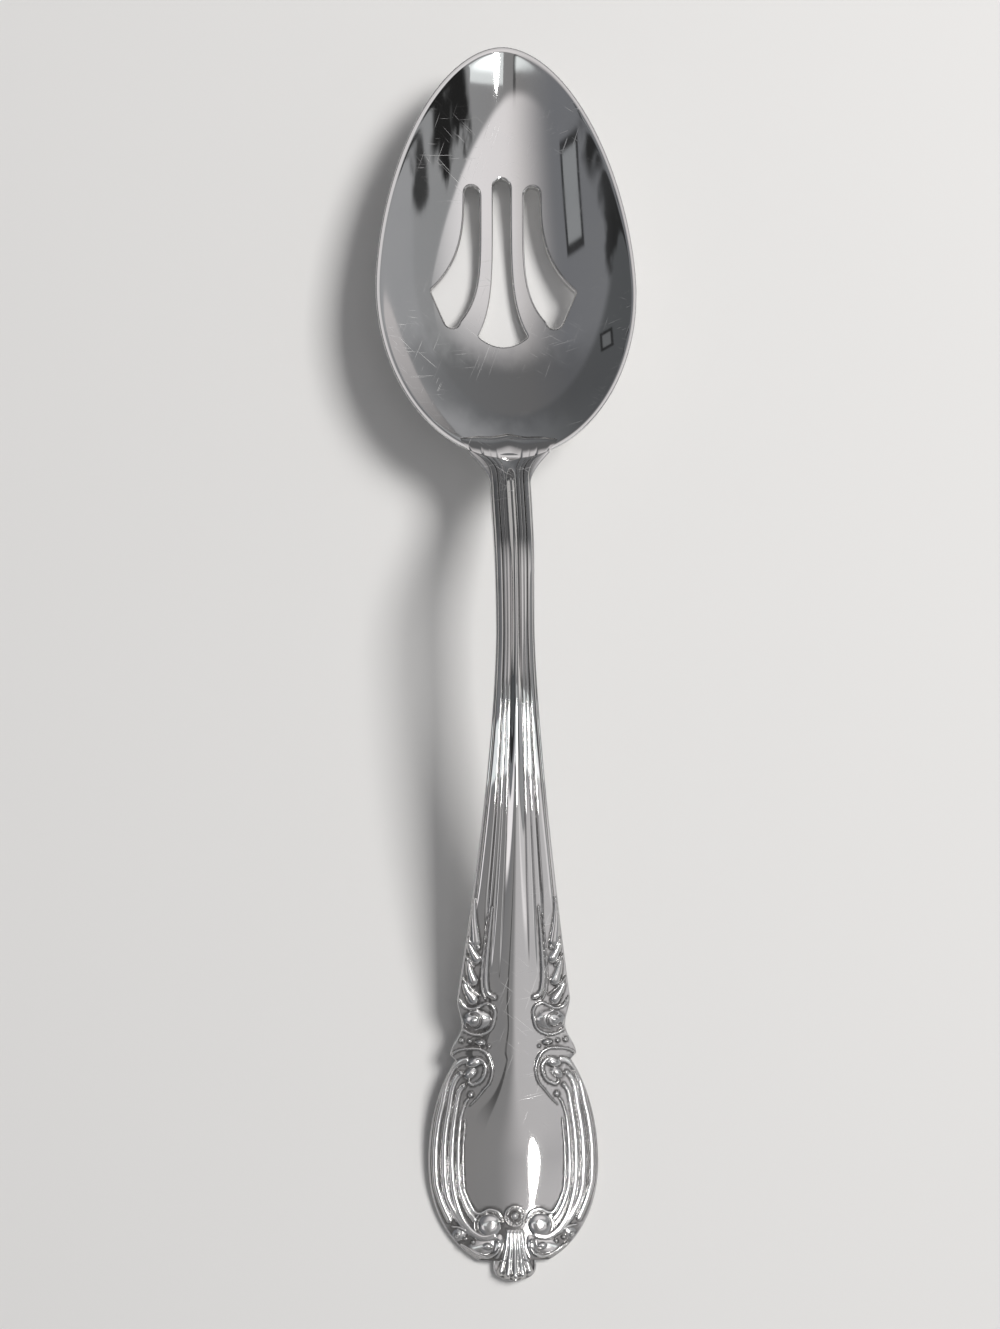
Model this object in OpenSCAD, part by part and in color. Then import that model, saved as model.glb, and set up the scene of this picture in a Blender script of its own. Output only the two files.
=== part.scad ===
// Slotted serving spoon, struck from one piece of steel and split here into its zones.
// X runs across, Y along the spoon with the bowl at +Y, Z is up and Z = 0 is the table.

/* [Spoon] */
// Length over all, from the bowl's tip to the shell's tip
spoon_l = 213; // [200:1:226]

/* [Bowl] */
// Length of the bowl, from its tip to its heel
bowl_l = 75.8; // [70:0.1:82]
// Width of the bowl at its widest place
bowl_w = 45.4; // [38:0.1:54]
// Distance from the bowl's tip to its widest place
bowl_widest = 45; // [40:0.5:50]
// Depth of the dish below its rim
bowl_depth = 10.6; // [8.5:0.1:13]
// Metal under the middle of the dish
bowl_wall = 1.7; // [1.3:0.1:2.4]
// Width of the flat top of the rim
rim_band = 0.7; // [0.5:0.05:1]
// Height of the rim's outer edge
rim_edge = 1.3; // [1:0.1:1.6]
// How much higher the rim stands at the heel than at the tip
rim_climb = 1.6; // [0:0.1:2.5]

/* [Slots] */
// Distance from the bowl's tip to the top of the middle slot
slot_from_tip = 21.7; // [18:0.1:26]
// Length of the middle slot, to the corners of its foot
slot_l = 28.9; // [24:0.1:34]
// Width of the middle slot along its straight part
slot_w = 3.1; // [2.2:0.1:4]
// Width of the middle slot's flared foot
slot_foot_w = 8.8; // [6.6:0.1:10]
// How far the foot's lower edge bows past its corners
slot_foot_bow = 1.9; // [1:0.1:2.6]
// Metal left between the middle slot and a side slot
slot_web = 2.45; // [2:0.05:3]
// Width of a side slot at its round top
side_slot_w = 2.7; // [2.2:0.1:3.2]
// Length of a side slot, from its top to its round foot
side_slot_l = 24.8; // [21:0.1:28]
// How far a side slot's point reaches out from the middle
side_slot_reach = 12.8; // [11:0.1:14.5]
// Radius of a side slot's round foot
side_foot_r = 1.4; // [1.1:0.05:1.7]

/* [Stem] */
// Width of the stem at its narrowest place
stem_w = 6.4; // [5.2:0.1:8]
// Width of the stem where the neck starts
neck_w = 7; // [5.8:0.1:8.6]
// Thickness of the stem where the neck starts
stem_t = 4; // [3.3:0.1:4.8]
// Height of the underside at the crest of the arch
arch_h = 18.5; // [15.5:0.1:21.5]
// Distance from the heel back to the crest of the arch
crest_from_heel = 22; // [18:0.1:26]
// Distance from the handle's end to the narrowest place
stem_from_end = 106; // [96:0.5:118]
// How far the top of the stem falls from its middle to its edges
stem_fall = 0.9; // [0.7:0.05:1.1]
// Height of the reeds on the stem
reed_h = 0.35; // [0.25:0.01:0.45]
// Height of the ridge along the middle
ridge_h = 0.7; // [0.5:0.05:0.9]

/* [Neck] */
// Length of the neck, from the stem to the middle of the heel
neck_l = 4.7; // [3.8:0.1:5.6]
// Width across the two shoulders where they meet the bowl
shoulder_w = 14.2; // [12:0.1:17]
// How far the fan of reed ends reaches into the bowl
fan_l = 5.2; // [4.2:0.1:6.2]
// Length of the tongue under the heel
tongue_l = 13; // [10.5:0.5:16]
// Thickness of the tongue at the heel
tongue_t = 1.2; // [0.9:0.05:1.5]

/* [Blade] */
// Width of the paddle at its widest place
paddle_w = 28.4; // [25:0.1:34]
// Distance from the handle's end to the paddle's widest place
paddle_from_end = 19.6; // [18:0.1:21]
// Length of the oval from the widest place towards the end
paddle_low = 17.5; // [16.8:0.1:18.4]
// Length of the oval from the widest place towards the waist
paddle_up = 22.7; // [21:0.1:25]
// Thickness of the paddle in its middle
paddle_t = 2.2; // [1.8:0.05:2.7]
// How far the top of the paddle falls from its middle to its edges
paddle_fall = 0.9; // [0.6:0.05:1.1]
// Rounding of the underside along the paddle's edges
edge_round = 0.5; // [0.35:0.05:0.6]
// Depth of the flat that is worn on the underside of the end
rest_flat = 0.2; // [0.16:0.01:0.24]
// Distance from the handle's end to where the underside starts to climb
rest_from_end = 8.5; // [7:0.5:11]

/* [Waist] */
// Width across the horns
horn_w = 21.1; // [19.5:0.1:24]
// Distance from the handle's end to the horns
horn_from_end = 37.2; // [36.4:0.1:38.4]
// Width of the waist above the horns
waist_w = 17.3; // [14.5:0.1:18.2]
// Distance from the horns up to the waist
waist_from_horn = 4.7; // [4:0.1:5.5]
// Width across the husks
husk_w = 18.9; // [17.6:0.1:22]
// Distance from the waist up to the husks' widest place
husk_from_waist = 4.4; // [3.6:0.1:5.2]

/* [Relief] */
// Height of the leaves and scrolls above the blade
relief_h = 0.75; // [0.6:0.05:0.9]
// Height of the cushioned panel inside the frame
panel_h = 0.35; // [0.25:0.05:0.45]
// Height of the reeds that frame the paddle
frame_h = 0.5; // [0.4:0.05:0.6]
// Radius of the round end bosses
boss_r = 2; // [1.6:0.05:2.2]
// Distance from the handle's end to the bosses
boss_from_end = 9.3; // [8.6:0.1:10]
// Distance from the middle to each boss
boss_x = 4.3; // [4:0.1:4.8]
// Outer radius of the ring between the bosses
ring_r = 1.6; // [1.3:0.05:1.75]
// Radius of the bead in the ring
bead_r = 0.85; // [0.65:0.05:0.95]
// Radius of the shell, from its root to its middle lobe
shell_r = 8.2; // [7.4:0.1:9]
// Width of the shell's base at the blade's end
shell_w = 7.2; // [6.2:0.1:8.2]
// How far the shell's base reaches past the paddle's oval
shell_out = 3.3; // [2.7:0.1:3.9]

// Distance from the handle's end to the ring between the bosses
ring_from_end = 10.7; // [10.2:0.1:11.2]
// Height of the end bosses
boss_h = 0.9; // [0.7:0.05:1.1]
// Height of the shell's lobes
shell_h = 0.8; // [0.6:0.05:0.95]
// Length of the shell's lobes along the middle
lobe_l = 4.7; // [4:0.1:5.2]
// Width of the shell's five flutes, side by side
flutes_w = 3.4; // [2.8:0.1:3.8]
// Width of the long bead over each horn
horn_bead_w = 1.3; // [1:0.05:1.5]
// Width of the bands that form the scrolls
band_w = 0.95; // [0.75:0.05:1.1]
// Width of the thick inner curl of the shoulder scrolls
curl_w = 1.4; // [1.1:0.05:1.6]
// Width of the fine lines
thin_w = 0.6; // [0.4:0.05:0.7]
// Radius of the small beads
small_bead_r = 0.45; // [0.3:0.05:0.55]
// Length of a leaf along the husk
leaf_l = 4; // [3.2:0.1:4.6]
// Width of a leaf at its root
leaf_w = 1.6; // [1.2:0.05:1.8]
// Width of the reeds that frame the paddle
frame_w = 1.25; // [1:0.05:1.35]
// Distance from a boss's centre to the cup under it
cup_r = 2.5; // [2.3:0.05:2.7]

/* [Hidden] */

steel = [0.72, 0.72, 0.71];
pale_steel = [0.8, 0.79, 0.78];
dark_steel = [0.55, 0.56, 0.56];

// Length over which the outline swells into the horn
horn_run = 1;
// Length of blade that the leaves cover
leaf_run = 15.4;
// Share of the paddle's lower oval that shows before the shell's base
paddle_end_share = 0.915;

// Places along the spoon
tip_y = spoon_l / 2;
end_y = -spoon_l / 2;
bowl_y = tip_y - bowl_widest;
heel_y = tip_y - bowl_l;
heel_r = bowl_l - bowl_widest;
neck_y = heel_y - neck_l;
crest_y = heel_y - crest_from_heel;
rest_y = end_y + rest_from_end;
stem_y = end_y + stem_from_end;
paddle_y = end_y + paddle_from_end;
paddle_end_y = paddle_y - paddle_low * paddle_end_share;
horn_y = end_y + horn_from_end;
swell_y = horn_y - horn_run;
waist_y = horn_y + waist_from_horn;
husk_y = waist_y + husk_from_waist;
leaf_y = husk_y + leaf_run;
boss_y = end_y + boss_from_end;

// One overrun for all cuts
over = 1;
// Depth to which a raised piece sits in the surface under it
seat = 0.05;
// Length over which the paddle's outline steps in to the shell's base
end_step = 0.12;
// Steps along the paddle between the starts of two frame reeds
frame_step = 2;

// Powers of the curves: bowl outline, dish, slot edges, paddle, taper and underside
tip_power = 1.75;
tip_blunt = 0.53;
dish_power = 2.1;
slot_flare = 4.9;
side_flare = 2.75;
paddle_power = 2.15;
shell_power = 4;
taper_power = 1.5;
stem_under_power = 2.2;
blade_under_power = 6;
fan_power = 1.8;
shoulder_power = 3;
ear_power = 1.6;

// Shares of the sizes that they follow
rim_wall_share = 0.6;
rim_soft_share = 0.12;
ridge_share = 0.3;
stem_under_share = 0.45;
neck_reed_share = 0.6;
fan_spread_share = 1.17;
fan_side_share = 0.75;
tongue_tip_share = 0.4;
foot_bend_share = 0.4;
crest_bend_share = 0.55;
neck_bend_share = 0.4;
heel_bend_share = 0.2;
side_step_share = 0.6;
foot_reach_share = 0.97;
side_point_share = 0.79;
foot_turn = 140;

// Steps round and along the solids
bowl_steps = 60;
dish_steps = 10;
slot_steps = 9;
stem_steps = 13;
neck_steps = 6;
paddle_steps = 9;
lobe_steps = 4;
lobes = 5;

fan_steps = 6;
shell_steps = 5;
arc_steps = 8;
frame_steps = 9;
hook_steps = 4;
bead_rings = 3;
bead_sides = 10;
leaves = 4;

// Turns in degrees of the arcs
tongue_turn = 80;
blunt_turn = 15;
bead_turn = 75;
lobe_turn = 16;
shell_rise_turn = 40;
shell_fall_turn = 150;

// Places and half widths of the reeds on the stem, as shares of its half width
reed_places = [0.36, 0.52, 0.76];
reed_shares = [0.08, 0.08, 0.16];

// Husk: where its reeds end, and its leaves, as shares of the half width and of the husk's length
husk_reed_share = 0.5;
hook_share = 0.75;
hook_shares = [[0.5, 0.81], [0.485, 0.877], [0.41, 0.965], [0.345, 0.985]];
middle_reed_share = 0.47;
middle_end_share = 0.64;
leaf_start_share = 0.8;
leaf_tip_share = 0.94;
leaf_root_share = 0.77;

// Scrolls: places as shares of the half width and of a run along the handle
upper_scroll_shares = [[0.87, 0.19], [0.73, 0.175], [0.53, 0.1], [0.38, 0.155], [0.34, 0.33],
                       [0.38, 0.55], [0.49, 0.64], [0.64, 0.66], [0.8, 0.6]];
upper_curl_shares = [[0.487, 0.31], [0.52, 0.45], [0.656, 0.505], [0.76, 0.45]];
upper_eye_shares = [[0.635, 0.3]];
horn_bar_shares = [[0.46, 0.68], [0.61, 0.59]];
horn_bead_shares = [[0.82, 0.52], [0.39, 0.77]];
horn_lip_shares = [[0.41, 1.06], [0.55, 0.85], [0.72, 0.81], [0.88, 0.85], [0.97, 0.98]];
shoulder_scroll_shares = [[0.437, 0.006], [0.324, 0.034], [0.275, 0.114], [0.289, 0.21],
                          [0.359, 0.3], [0.437, 0.358]];
shoulder_curl_shares = [[0.5, 0.08], [0.42, 0.075], [0.37, 0.12], [0.385, 0.19], [0.45, 0.235]];
shoulder_bead_shares = [[0.507, 0.372], [0.6, 0.176]];
crescent_shares = [[0.577, 0.129], [0.676, 0.054], [0.775, 0.054]];
end_band_shares = [[0.155, 0.42], [0.303, 0.538], [0.444, 0.43], [0.556, 0.323]];
end_bar_shares = [[0.254, 0.355], [0.408, 0.355]];
end_bead_shares = [[0.676, 0.183], [0.134, 0.247]];

// Panel: its half width as a share of the paddle's, its end, its rounded border and where it fades
panel_share = 0.64;
panel_end_share = 0.4;
panel_border_share = 0.5;
panel_fade = 9;
panel_power = 3;

// Frame: how far out its reeds run, where they start, and how far they close in at the end
frame_shares = [0.925, 0.81, 0.705, 0.63];
frame_start_share = 0.227;
frame_close_share = 0.78;
cup_open_share = 1.55;
cup_turn = 170;
hood_from_turn = 50;
hood_to_turn = 150;

// Shell: its side lobes, edge and grooves
shell_side_share = 0.72;
scallop_share = 0.05;
shell_groove_share = 0.45;

// Small sums that the shapes share
function held(t) = min(1, max(0, t));
function ease(t) = let (c = held(t)) c * c * (3 - 2 * c);
function mix(a, b, t) = a + (b - a) * t;
// Rise from 0 to 1 that is straight but for its first bend a and its last bend b
function climb(t, a, b) = (t < a ? t * t / (2 * a)
    : t > 1 - b ? 1 - (a + b) / 2 - (1 - t) * (1 - t) / (2 * b) : t - a / 2) / (1 - (a + b) / 2);
// Profile of a reed: a flat top between narrow grooves
function reed(t) = abs(t) < 1 ? sqrt(1 - t * t * t * t) : 0;
function swell(t) = abs(t) < 1 ? pow(cos(90 * t), 2) : 0;
function sum(list, i = 0) = i < len(list) ? list[i] + sum(list, i + 1) : 0;

// Closed solid through a list of rings with the same number of points each.
// Its ends close as fans from a ring's first point, which sees the whole ring.
// In a band the first half of a ring runs out and the second half comes back, point for point,
// and its ends close between the two halves.
module loft(rings, band = false) {
    n = len(rings[0]);
    m = len(rings);
    sides = [for (j = [0:m - 2]) for (i = [0:n - 1])
        let (a = j * n + i, b = j * n + (i + 1) % n) each [[a, b, b + n], [a, b + n, a + n]]];
    end = band ? [for (i = [0:n / 2 - 2]) each [[i, i + 1, n - 2 - i], [i, n - 2 - i, n - 1 - i]]]
        : [for (i = [1:n - 2]) [0, i, i + 1]];
    first = [for (f = end) [f[2], f[1], f[0]]];
    last = [for (f = end) [for (k = f) (m - 1) * n + k]];
    polyhedron([for (r = rings) each r], concat(first, sides, last));
}

module both_sides(side) {
    if (side == "left") mirror([1, 0, 0]) children();
    else children();
}

// Bowl: an egg in plan, dished by a power of the share of the way out to its rim
function egg(a) = sin(a) >= 0
    ? [sign(cos(a)) * bowl_w / 2 * pow(abs(cos(a)), 2 * tip_blunt),
       bowl_widest * pow(sin(a), 2 / tip_power)]
    : [bowl_w / 2 * cos(a), heel_r * sin(a)];
function dish(share) = 1 - pow(share, dish_power);
function wall(share) = bowl_wall * mix(1, rim_wall_share, share * share);
function rim_rise(y) = rim_climb * (bowl_y - y) / bowl_l;
function outside_drop(share) = bowl_depth * dish(share) + wall(share)
    + (rim_edge - wall(1)) * pow(share, dish_power);
rim_inner = 1 - rim_band / (bowl_w / 2);

// The lowest point of the outside, on the middle line, stands on the table
low_drop = max([for (i = [0:dish_steps]) let (s = i / dish_steps)
    outside_drop(s) - rim_rise(bowl_y + s * bowl_widest)]);
function rim_top(y) = low_drop + rim_rise(y);

// Places on the heel's half of the bowl
function heel_share(x, y) = min(1, norm([x / (bowl_w / 2), (y - bowl_y) / heel_r]));
function inside_z(x, y) = rim_top(y) - bowl_depth * dish(min(1, heel_share(x, y) / rim_inner));
function outside_z(x, y) = rim_top(y) - outside_drop(heel_share(x, y));
function heel_edge(x) = bowl_y - heel_r * sqrt(1 - pow(x / (bowl_w / 2), 2));

function bowl_ring(share, drop) = [for (i = [0:bowl_steps - 1])
    let (p = egg(i * 360 / bowl_steps) * share, y = bowl_y + p[1]) [p[0], y, rim_top(y) - drop]];

module bowl_shell() {
    first = 1 / (2 * dish_steps);
    shares = [for (i = [0:dish_steps]) mix(first, 1, i / dish_steps)];
    inside = [for (s = shares) bowl_ring(s * rim_inner, bowl_depth * dish(s))];
    rim = [bowl_ring(1, rim_edge * rim_soft_share)];
    outside = [for (i = [dish_steps:-1:0]) bowl_ring(shares[i], outside_drop(shares[i]))];
    loft(concat(inside, rim, outside));
}

// Slots: their edges bow out by a power of the way down
function slot_half(t) = mix(slot_w, slot_foot_w, pow(t, slot_flare)) / 2;
function side_inner(t) = slot_w / 2 + slot_web + slot_foot_w / 2 * pow(t, slot_flare);
function side_outer(t) = let (x = slot_w / 2 + slot_web + side_slot_w)
    mix(x, side_slot_reach, pow(t, side_flare));

module middle_slot() {
    top = tip_y - slot_from_tip;
    r = slot_w / 2;
    right = [for (i = [0:slot_steps]) let (t = i / slot_steps)
        [slot_half(t), top - r - t * (slot_l - r)]];
    foot = [for (i = [1:slot_steps - 1]) let (t = 1 - 2 * i / slot_steps)
        [t * slot_foot_w / 2, top - slot_l - slot_foot_bow * (1 - t * t)]];
    left = [for (i = [slot_steps:-1:0]) [-right[i][0], right[i][1]]];
    crown = [for (i = [1:slot_steps - 1]) let (a = 180 - 180 * i / slot_steps)
        [r * cos(a), top - r + r * sin(a)]];
    polygon(concat(right, foot, left, crown));
}

module side_slot() {
    r = side_slot_w / 2;
    high = tip_y - slot_from_tip - side_slot_w * side_step_share - r;
    low = high - side_slot_l + r;
    point_y = mix(high, low, side_point_share);
    foot_x = side_inner(foot_reach_share) + side_foot_r;
    inner = [for (i = [0:slot_steps]) let (t = foot_reach_share * i / slot_steps)
        [side_inner(t), mix(high, low + side_foot_r * (1 - foot_reach_share), t)]];
    foot = [for (i = [1:slot_steps - 1]) let (a = 180 + foot_turn * i / slot_steps)
        [foot_x + side_foot_r * cos(a), inner[slot_steps][1] + side_foot_r * sin(a)]];
    outer = [for (i = [slot_steps:-1:0]) let (t = i / slot_steps)
        [side_outer(t), mix(high, point_y, t)]];
    crown = [for (i = [1:slot_steps - 1]) let (a = 180 * i / slot_steps)
        [inner[0][0] + r + r * cos(a), high + r * sin(a)]];
    polygon(concat(inner, foot, outer, crown));
}

module bowl() {
    color(pale_steel) difference() {
        bowl_shell();
        translate([0, 0, -over]) linear_extrude(bowl_depth + bowl_wall + 2 * over) {
            middle_slot();
            side_slot();
            mirror([1, 0, 0]) side_slot();
        }
    }
}

// Handle: half width in plan, from the shell's base to the neck
function oval(reach, run, power) = paddle_w / 2 * pow(1 - pow(held(reach / run), power), 1 / 2);
function half_w(y) = y < paddle_end_y
    ? shell_w / 2 * pow(1 - pow(held((paddle_end_y - y) / shell_out), shell_power), 1 / 2)
    : y < paddle_y ? oval(paddle_y - y, paddle_low, paddle_power)
    : y < swell_y ? oval(y - paddle_y, paddle_up, 2)
    : y < horn_y ? mix(oval(swell_y - paddle_y, paddle_up, 2), horn_w / 2, (y - swell_y) / horn_run)
    : y < waist_y ? mix(horn_w, waist_w, ease((y - horn_y) / waist_from_horn)) / 2
    : y < husk_y ? mix(waist_w, husk_w, ease((y - waist_y) / husk_from_waist)) / 2
    : y < stem_y ? mix(stem_w, husk_w, pow((stem_y - y) / (stem_y - husk_y), taper_power)) / 2
    : mix(stem_w, neck_w, ease((y - stem_y) / (neck_y - stem_y))) / 2;

// Handle: side view, from the flat end over the arch to the heel
heel_under = rim_top(heel_y) - rim_edge - tongue_t;
function stem_part(y) = ease((y - waist_y) / (crest_y - waist_y));
function under_z(y) = y < crest_y
    ? arch_h * climb(held((y - rest_y) / (crest_y - rest_y)), foot_bend_share, crest_bend_share) - rest_flat
    : mix(arch_h - rest_flat, heel_under,
        climb(held((y - crest_y) / crest_from_heel), neck_bend_share, heel_bend_share));
function thick(y) = mix(paddle_t, stem_t, stem_part(y));
function ridge_z(y) = ridge_h * ease((y - paddle_y) / (waist_y - paddle_y));
function fall(y) = mix(paddle_fall, stem_fall, stem_part(y));
function panel_z(u, y) = let (
    down = max(0, paddle_y - y) / (paddle_low * (1 - panel_end_share)),
    border = 1 - pow(abs(u) / panel_share, panel_power) - pow(down, panel_power))
    panel_h * ease(border / panel_border_share) * ease((waist_y - y) / panel_fade);
function under_rise(u, y) = mix(edge_round * pow(abs(u), blade_under_power),
    stem_t * stem_under_share * pow(abs(u), stem_under_power), stem_part(y));
function reeds(u) = sum([for (i = [0:2]) reed((abs(u) - reed_places[i]) / reed_shares[i])]);

// Face and underside at a share u of the half width
function face(u, y) = under_z(y) + thick(y) - fall(y) * u * u + ridge_z(y) * swell(u / ridge_share)
    + panel_z(u, y);
function under(u, y) = under_z(y) + under_rise(u, y);
function face_at(x, y) = face(max(-1, min(1, x / max(seat, half_w(y)))), y);

// Shares of the half width at which a section has its points
under_shares = [0.5, 0.8, 1];
plain_shares = [0, 0.1, 0.2, 0.3, 0.42, 0.52, 0.64, 0.8, 1];
reeded_shares = concat([0, 0.1, 0.2, reed_places[0] - reed_shares[0]],
    [for (i = [0:2]) for (k = [-0.75, 0, 0.75, 1]) reed_places[i] + k * reed_shares[i]], [1]);
function both_ways(shares) = concat([for (i = [len(shares) - 1:-1:1]) shares[i]],
    [for (s = shares) -s]);

// Ring of points for a section: across the underside and back over the face
function section(shares, low, high) = concat([low(0)], [for (u = under_shares) low(u)],
    [for (u = both_ways(shares)) high(u)],
    [for (i = [len(under_shares) - 1:-1:0]) low(-under_shares[i])]);
function plain_section(y) = section(plain_shares,
    function (u) [u * half_w(y), y, under(u, y)],
    function (u) [u * half_w(y), y, face(u, y)]);
function reeded_section(y) = section(reeded_shares,
    function (u) [u * half_w(y), y, under(u, y)],
    function (u) [u * half_w(y), y, face(u, y) + reed_h * reeds(u)]);

module stem() {
    color(dark_steel) loft([for (i = [0:stem_steps]) reeded_section(mix(leaf_y, neck_y, i / stem_steps))]);
}

// Blade: sections gather where the outline turns
blade_ys = concat(
    [for (a = [78, 64, 44, 22]) paddle_end_y - shell_out * sin(a)],
    [paddle_end_y - end_step],
    [for (i = [0:paddle_steps]) paddle_y - paddle_low * paddle_end_share * cos(90 * i / paddle_steps)],
    [for (i = [1:paddle_steps]) mix(paddle_y, swell_y, i / paddle_steps)],
    [for (t = [0, 0.25, 0.5, 0.75, 1]) mix(horn_y, waist_y, t)],
    [for (t = [0.33, 0.67, 1]) mix(waist_y, husk_y, t)],
    [for (t = [0.2, 0.4, 0.6, 0.8, 1]) mix(husk_y, leaf_y, t)]);

module blade() {
    color(steel) difference() {
        loft([for (y = blade_ys) plain_section(y)]);
        translate([-paddle_w, end_y - over, -rest_flat - over])
            cube([2 * paddle_w, paddle_from_end + over, rest_flat + over]);
    }
}

// Neck: from the stem's section out to the bowl's edge, its underside wider than its face
function neck_point(u, v, power) = let (
    x = u * mix(neck_w, shoulder_w, pow(v, power)) / 2,
    edge = heel_edge(u * shoulder_w / 2)) [x, mix(neck_y, edge, v)];
function neck_low(u, v) = let (p = neck_point(u, v, ear_power)) [p[0], p[1],
    mix(under(u, neck_y), rim_top(p[1]) - rim_edge - tongue_t * (1 - u * u), ease(v))];
function neck_high(u, v) = let (p = neck_point(u, v, shoulder_power)) [p[0], p[1],
    mix(face(u, neck_y), rim_top(p[1]), v) + reed_h * reeds(u) * mix(1, neck_reed_share, v)];

module neck() {
    color(dark_steel) loft([for (i = [0:neck_steps]) let (v = i / neck_steps)
        section(reeded_shares, function (u) neck_low(u, v), function (u) neck_high(u, v))]);
}

// Heel in the bowl: a shelf level with the rim that ends in a low point
fan_half_shares = [0.15, 0.3, 0.44, 0.58, 0.72, 0.85, 1];
fan_shares = concat([for (i = [len(fan_half_shares) - 1:-1:0]) -fan_half_shares[i]], [0], fan_half_shares);
function fan_place(u, v) = [u * shoulder_w / 2 * mix(1, fan_spread_share, v),
    mix(heel_edge(u * shoulder_w / 2), heel_y + fan_l * mix(1, fan_side_share, abs(u)), v)];
function fan_low(u, v) = let (p = fan_place(u, v)) [p[0], p[1], inside_z(p[0], p[1]) - 2 * seat];
function fan_high(u, v) = let (p = fan_place(u, v)) [p[0], p[1],
    mix(rim_top(p[1]), inside_z(p[0], p[1]), pow(v, fan_power)) + seat * (1 - v)];

module heel_fan() {
    color(pale_steel) loft([for (u = fan_shares) concat(
        [for (i = [fan_steps:-1:0]) fan_low(u, i / fan_steps)],
        [for (i = [0:fan_steps]) fan_high(u, i / fan_steps)])], true);
}

// Heel under the bowl: a rounded tongue that thins towards its tip
function tongue_place(u, v) = [u * shoulder_w / 2 * cos(tongue_turn * v),
    mix(heel_edge(u * shoulder_w / 2), heel_y + tongue_l, sin(tongue_turn * v) / sin(tongue_turn))];
function tongue_low(u, v) = let (p = tongue_place(u, v)) [p[0], p[1],
    outside_z(p[0], p[1]) - tongue_t * (1 - u * u) * mix(1, tongue_tip_share, v)];
function tongue_high(u, v) = let (p = tongue_place(u, v)) [p[0], p[1], outside_z(p[0], p[1]) + seat];

module heel_tongue() {
    color(steel) loft([for (i = [0:fan_steps]) let (v = i / fan_steps)
        section(plain_shares, function (u) tongue_low(u, v), function (u) tongue_high(u, v))]);
}

// Relief: a curve through a few places, and solids that stand on the face
function between(a, b, c, d, t) = b + t * (c - a) / 2 + t * t * (2 * a - 5 * b + 4 * c - d) / 2
    + t * t * t * (3 * b - a - 3 * c + d) / 2;
function curve(p, steps) = let (last = len(p) - 1) concat(
    [for (i = [0:last - 1]) for (k = [0:steps - 1])
        between(p[max(0, i - 1)], p[i], p[i + 1], p[min(last, i + 2)], k / steps)], [p[last]]);
// Places given as shares of a width and of a run along the handle
function spots(w, from_y, to_y, shares) = [for (s = shares) [s[0] * w / 2, mix(from_y, to_y, s[1])]];
function along(from_u, to_u, from_y, to_y, steps) = [for (i = [0:steps])
    let (y = mix(from_y, to_y, i / steps)) [mix(from_u, to_u, i / steps) * half_w(y), y]];

// A ridge swells from blunt ends; its section is round
ridge_section = [[1, 0], [0.62, 0.78], [0, 1], [-0.62, 0.78], [-1, 0]];
module ridge(path, width, high, first = 1, last = 1) {
    n = len(path) - 1;
    loft([for (i = [0:n]) let (
        run = path[min(n, i + 1)] - path[max(0, i - 1)],
        out = [run[1], -run[0]] / norm(run),
        size = mix(first, last, i / n) * sqrt(sin(mix(blunt_turn, 180 - blunt_turn, i / n))))
        concat([[path[i][0], path[i][1], face_at(path[i][0], path[i][1]) - 2 * seat]],
            [for (k = ridge_section) let (p = path[i] + k[0] * size * width / 2 * out)
                [p[0], p[1], face_at(p[0], p[1]) - seat + k[1] * size * (high + seat)]])]);
}

module bead(place, r, high) {
    loft([for (i = [0:bead_rings]) let (a = bead_turn * i / bead_rings) [for (k = [0:bead_sides - 1]) let (
        p = place + r * cos(a) * [cos(360 * k / bead_sides), -sin(360 * k / bead_sides)])
        [p[0], p[1], face_at(p[0], p[1]) - seat + (high + seat) * sin(a)]]]);
}

// Husk: the inner reed runs on and hooks round, the others die out beside a row of leaves
module husk(side) {
    reed_w = 2 * reed_shares[0] * half_w(leaf_y);
    color(steel) both_sides(side) {
        hook = curve(spots(husk_w, leaf_y, husk_y, hook_shares), 2);
        hook_y = mix(leaf_y, husk_y, hook_share);
        ridge(concat(along(reed_places[0], husk_reed_share, leaf_y, hook_y, hook_steps), hook),
            reed_w, frame_h, 1, 0.8);
        reed_end_y = mix(leaf_y, husk_y, middle_reed_share);
        ridge(along(reed_places[1], middle_end_share, leaf_y, reed_end_y, hook_steps),
            reed_w, frame_h, 1, 0.4);
        for (i = [0:leaves - 1]) {
            tip = mix(leaf_y, husk_y, (i + leaf_start_share) / (leaves + leaf_start_share));
            ridge(along(leaf_tip_share, leaf_root_share, tip, tip - leaf_l, hook_steps),
                leaf_w, relief_h, 0.35, 1);
        }
    }
}
module husk_left() { husk("left"); }
module husk_right() { husk("right"); }

module upper_scroll(side) {
    color(steel) both_sides(side) {
        ridge(curve(spots(husk_w, husk_y, horn_y, upper_scroll_shares), 2), band_w, relief_h);
        ridge(curve(spots(husk_w, husk_y, horn_y, upper_curl_shares), 2), thin_w, frame_h);
        bead(spots(husk_w, husk_y, horn_y, upper_eye_shares)[0], bead_r, relief_h);
    }
}
module upper_scroll_left() { upper_scroll("left"); }
module upper_scroll_right() { upper_scroll("right"); }

// Horn: a long bead and two round ones over a curved lip that runs out to the point
module horn(side) {
    color(steel) both_sides(side) {
        ridge(curve(spots(horn_w, waist_y, horn_y, horn_bar_shares), 4), horn_bead_w, relief_h);
        for (p = spots(horn_w, waist_y, horn_y, horn_bead_shares)) bead(p, small_bead_r, frame_h);
        ridge(curve(spots(horn_w, waist_y, horn_y, horn_lip_shares), 2), band_w, relief_h);
    }
}
module horn_left() { horn("left"); }
module horn_right() { horn("right"); }

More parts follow.
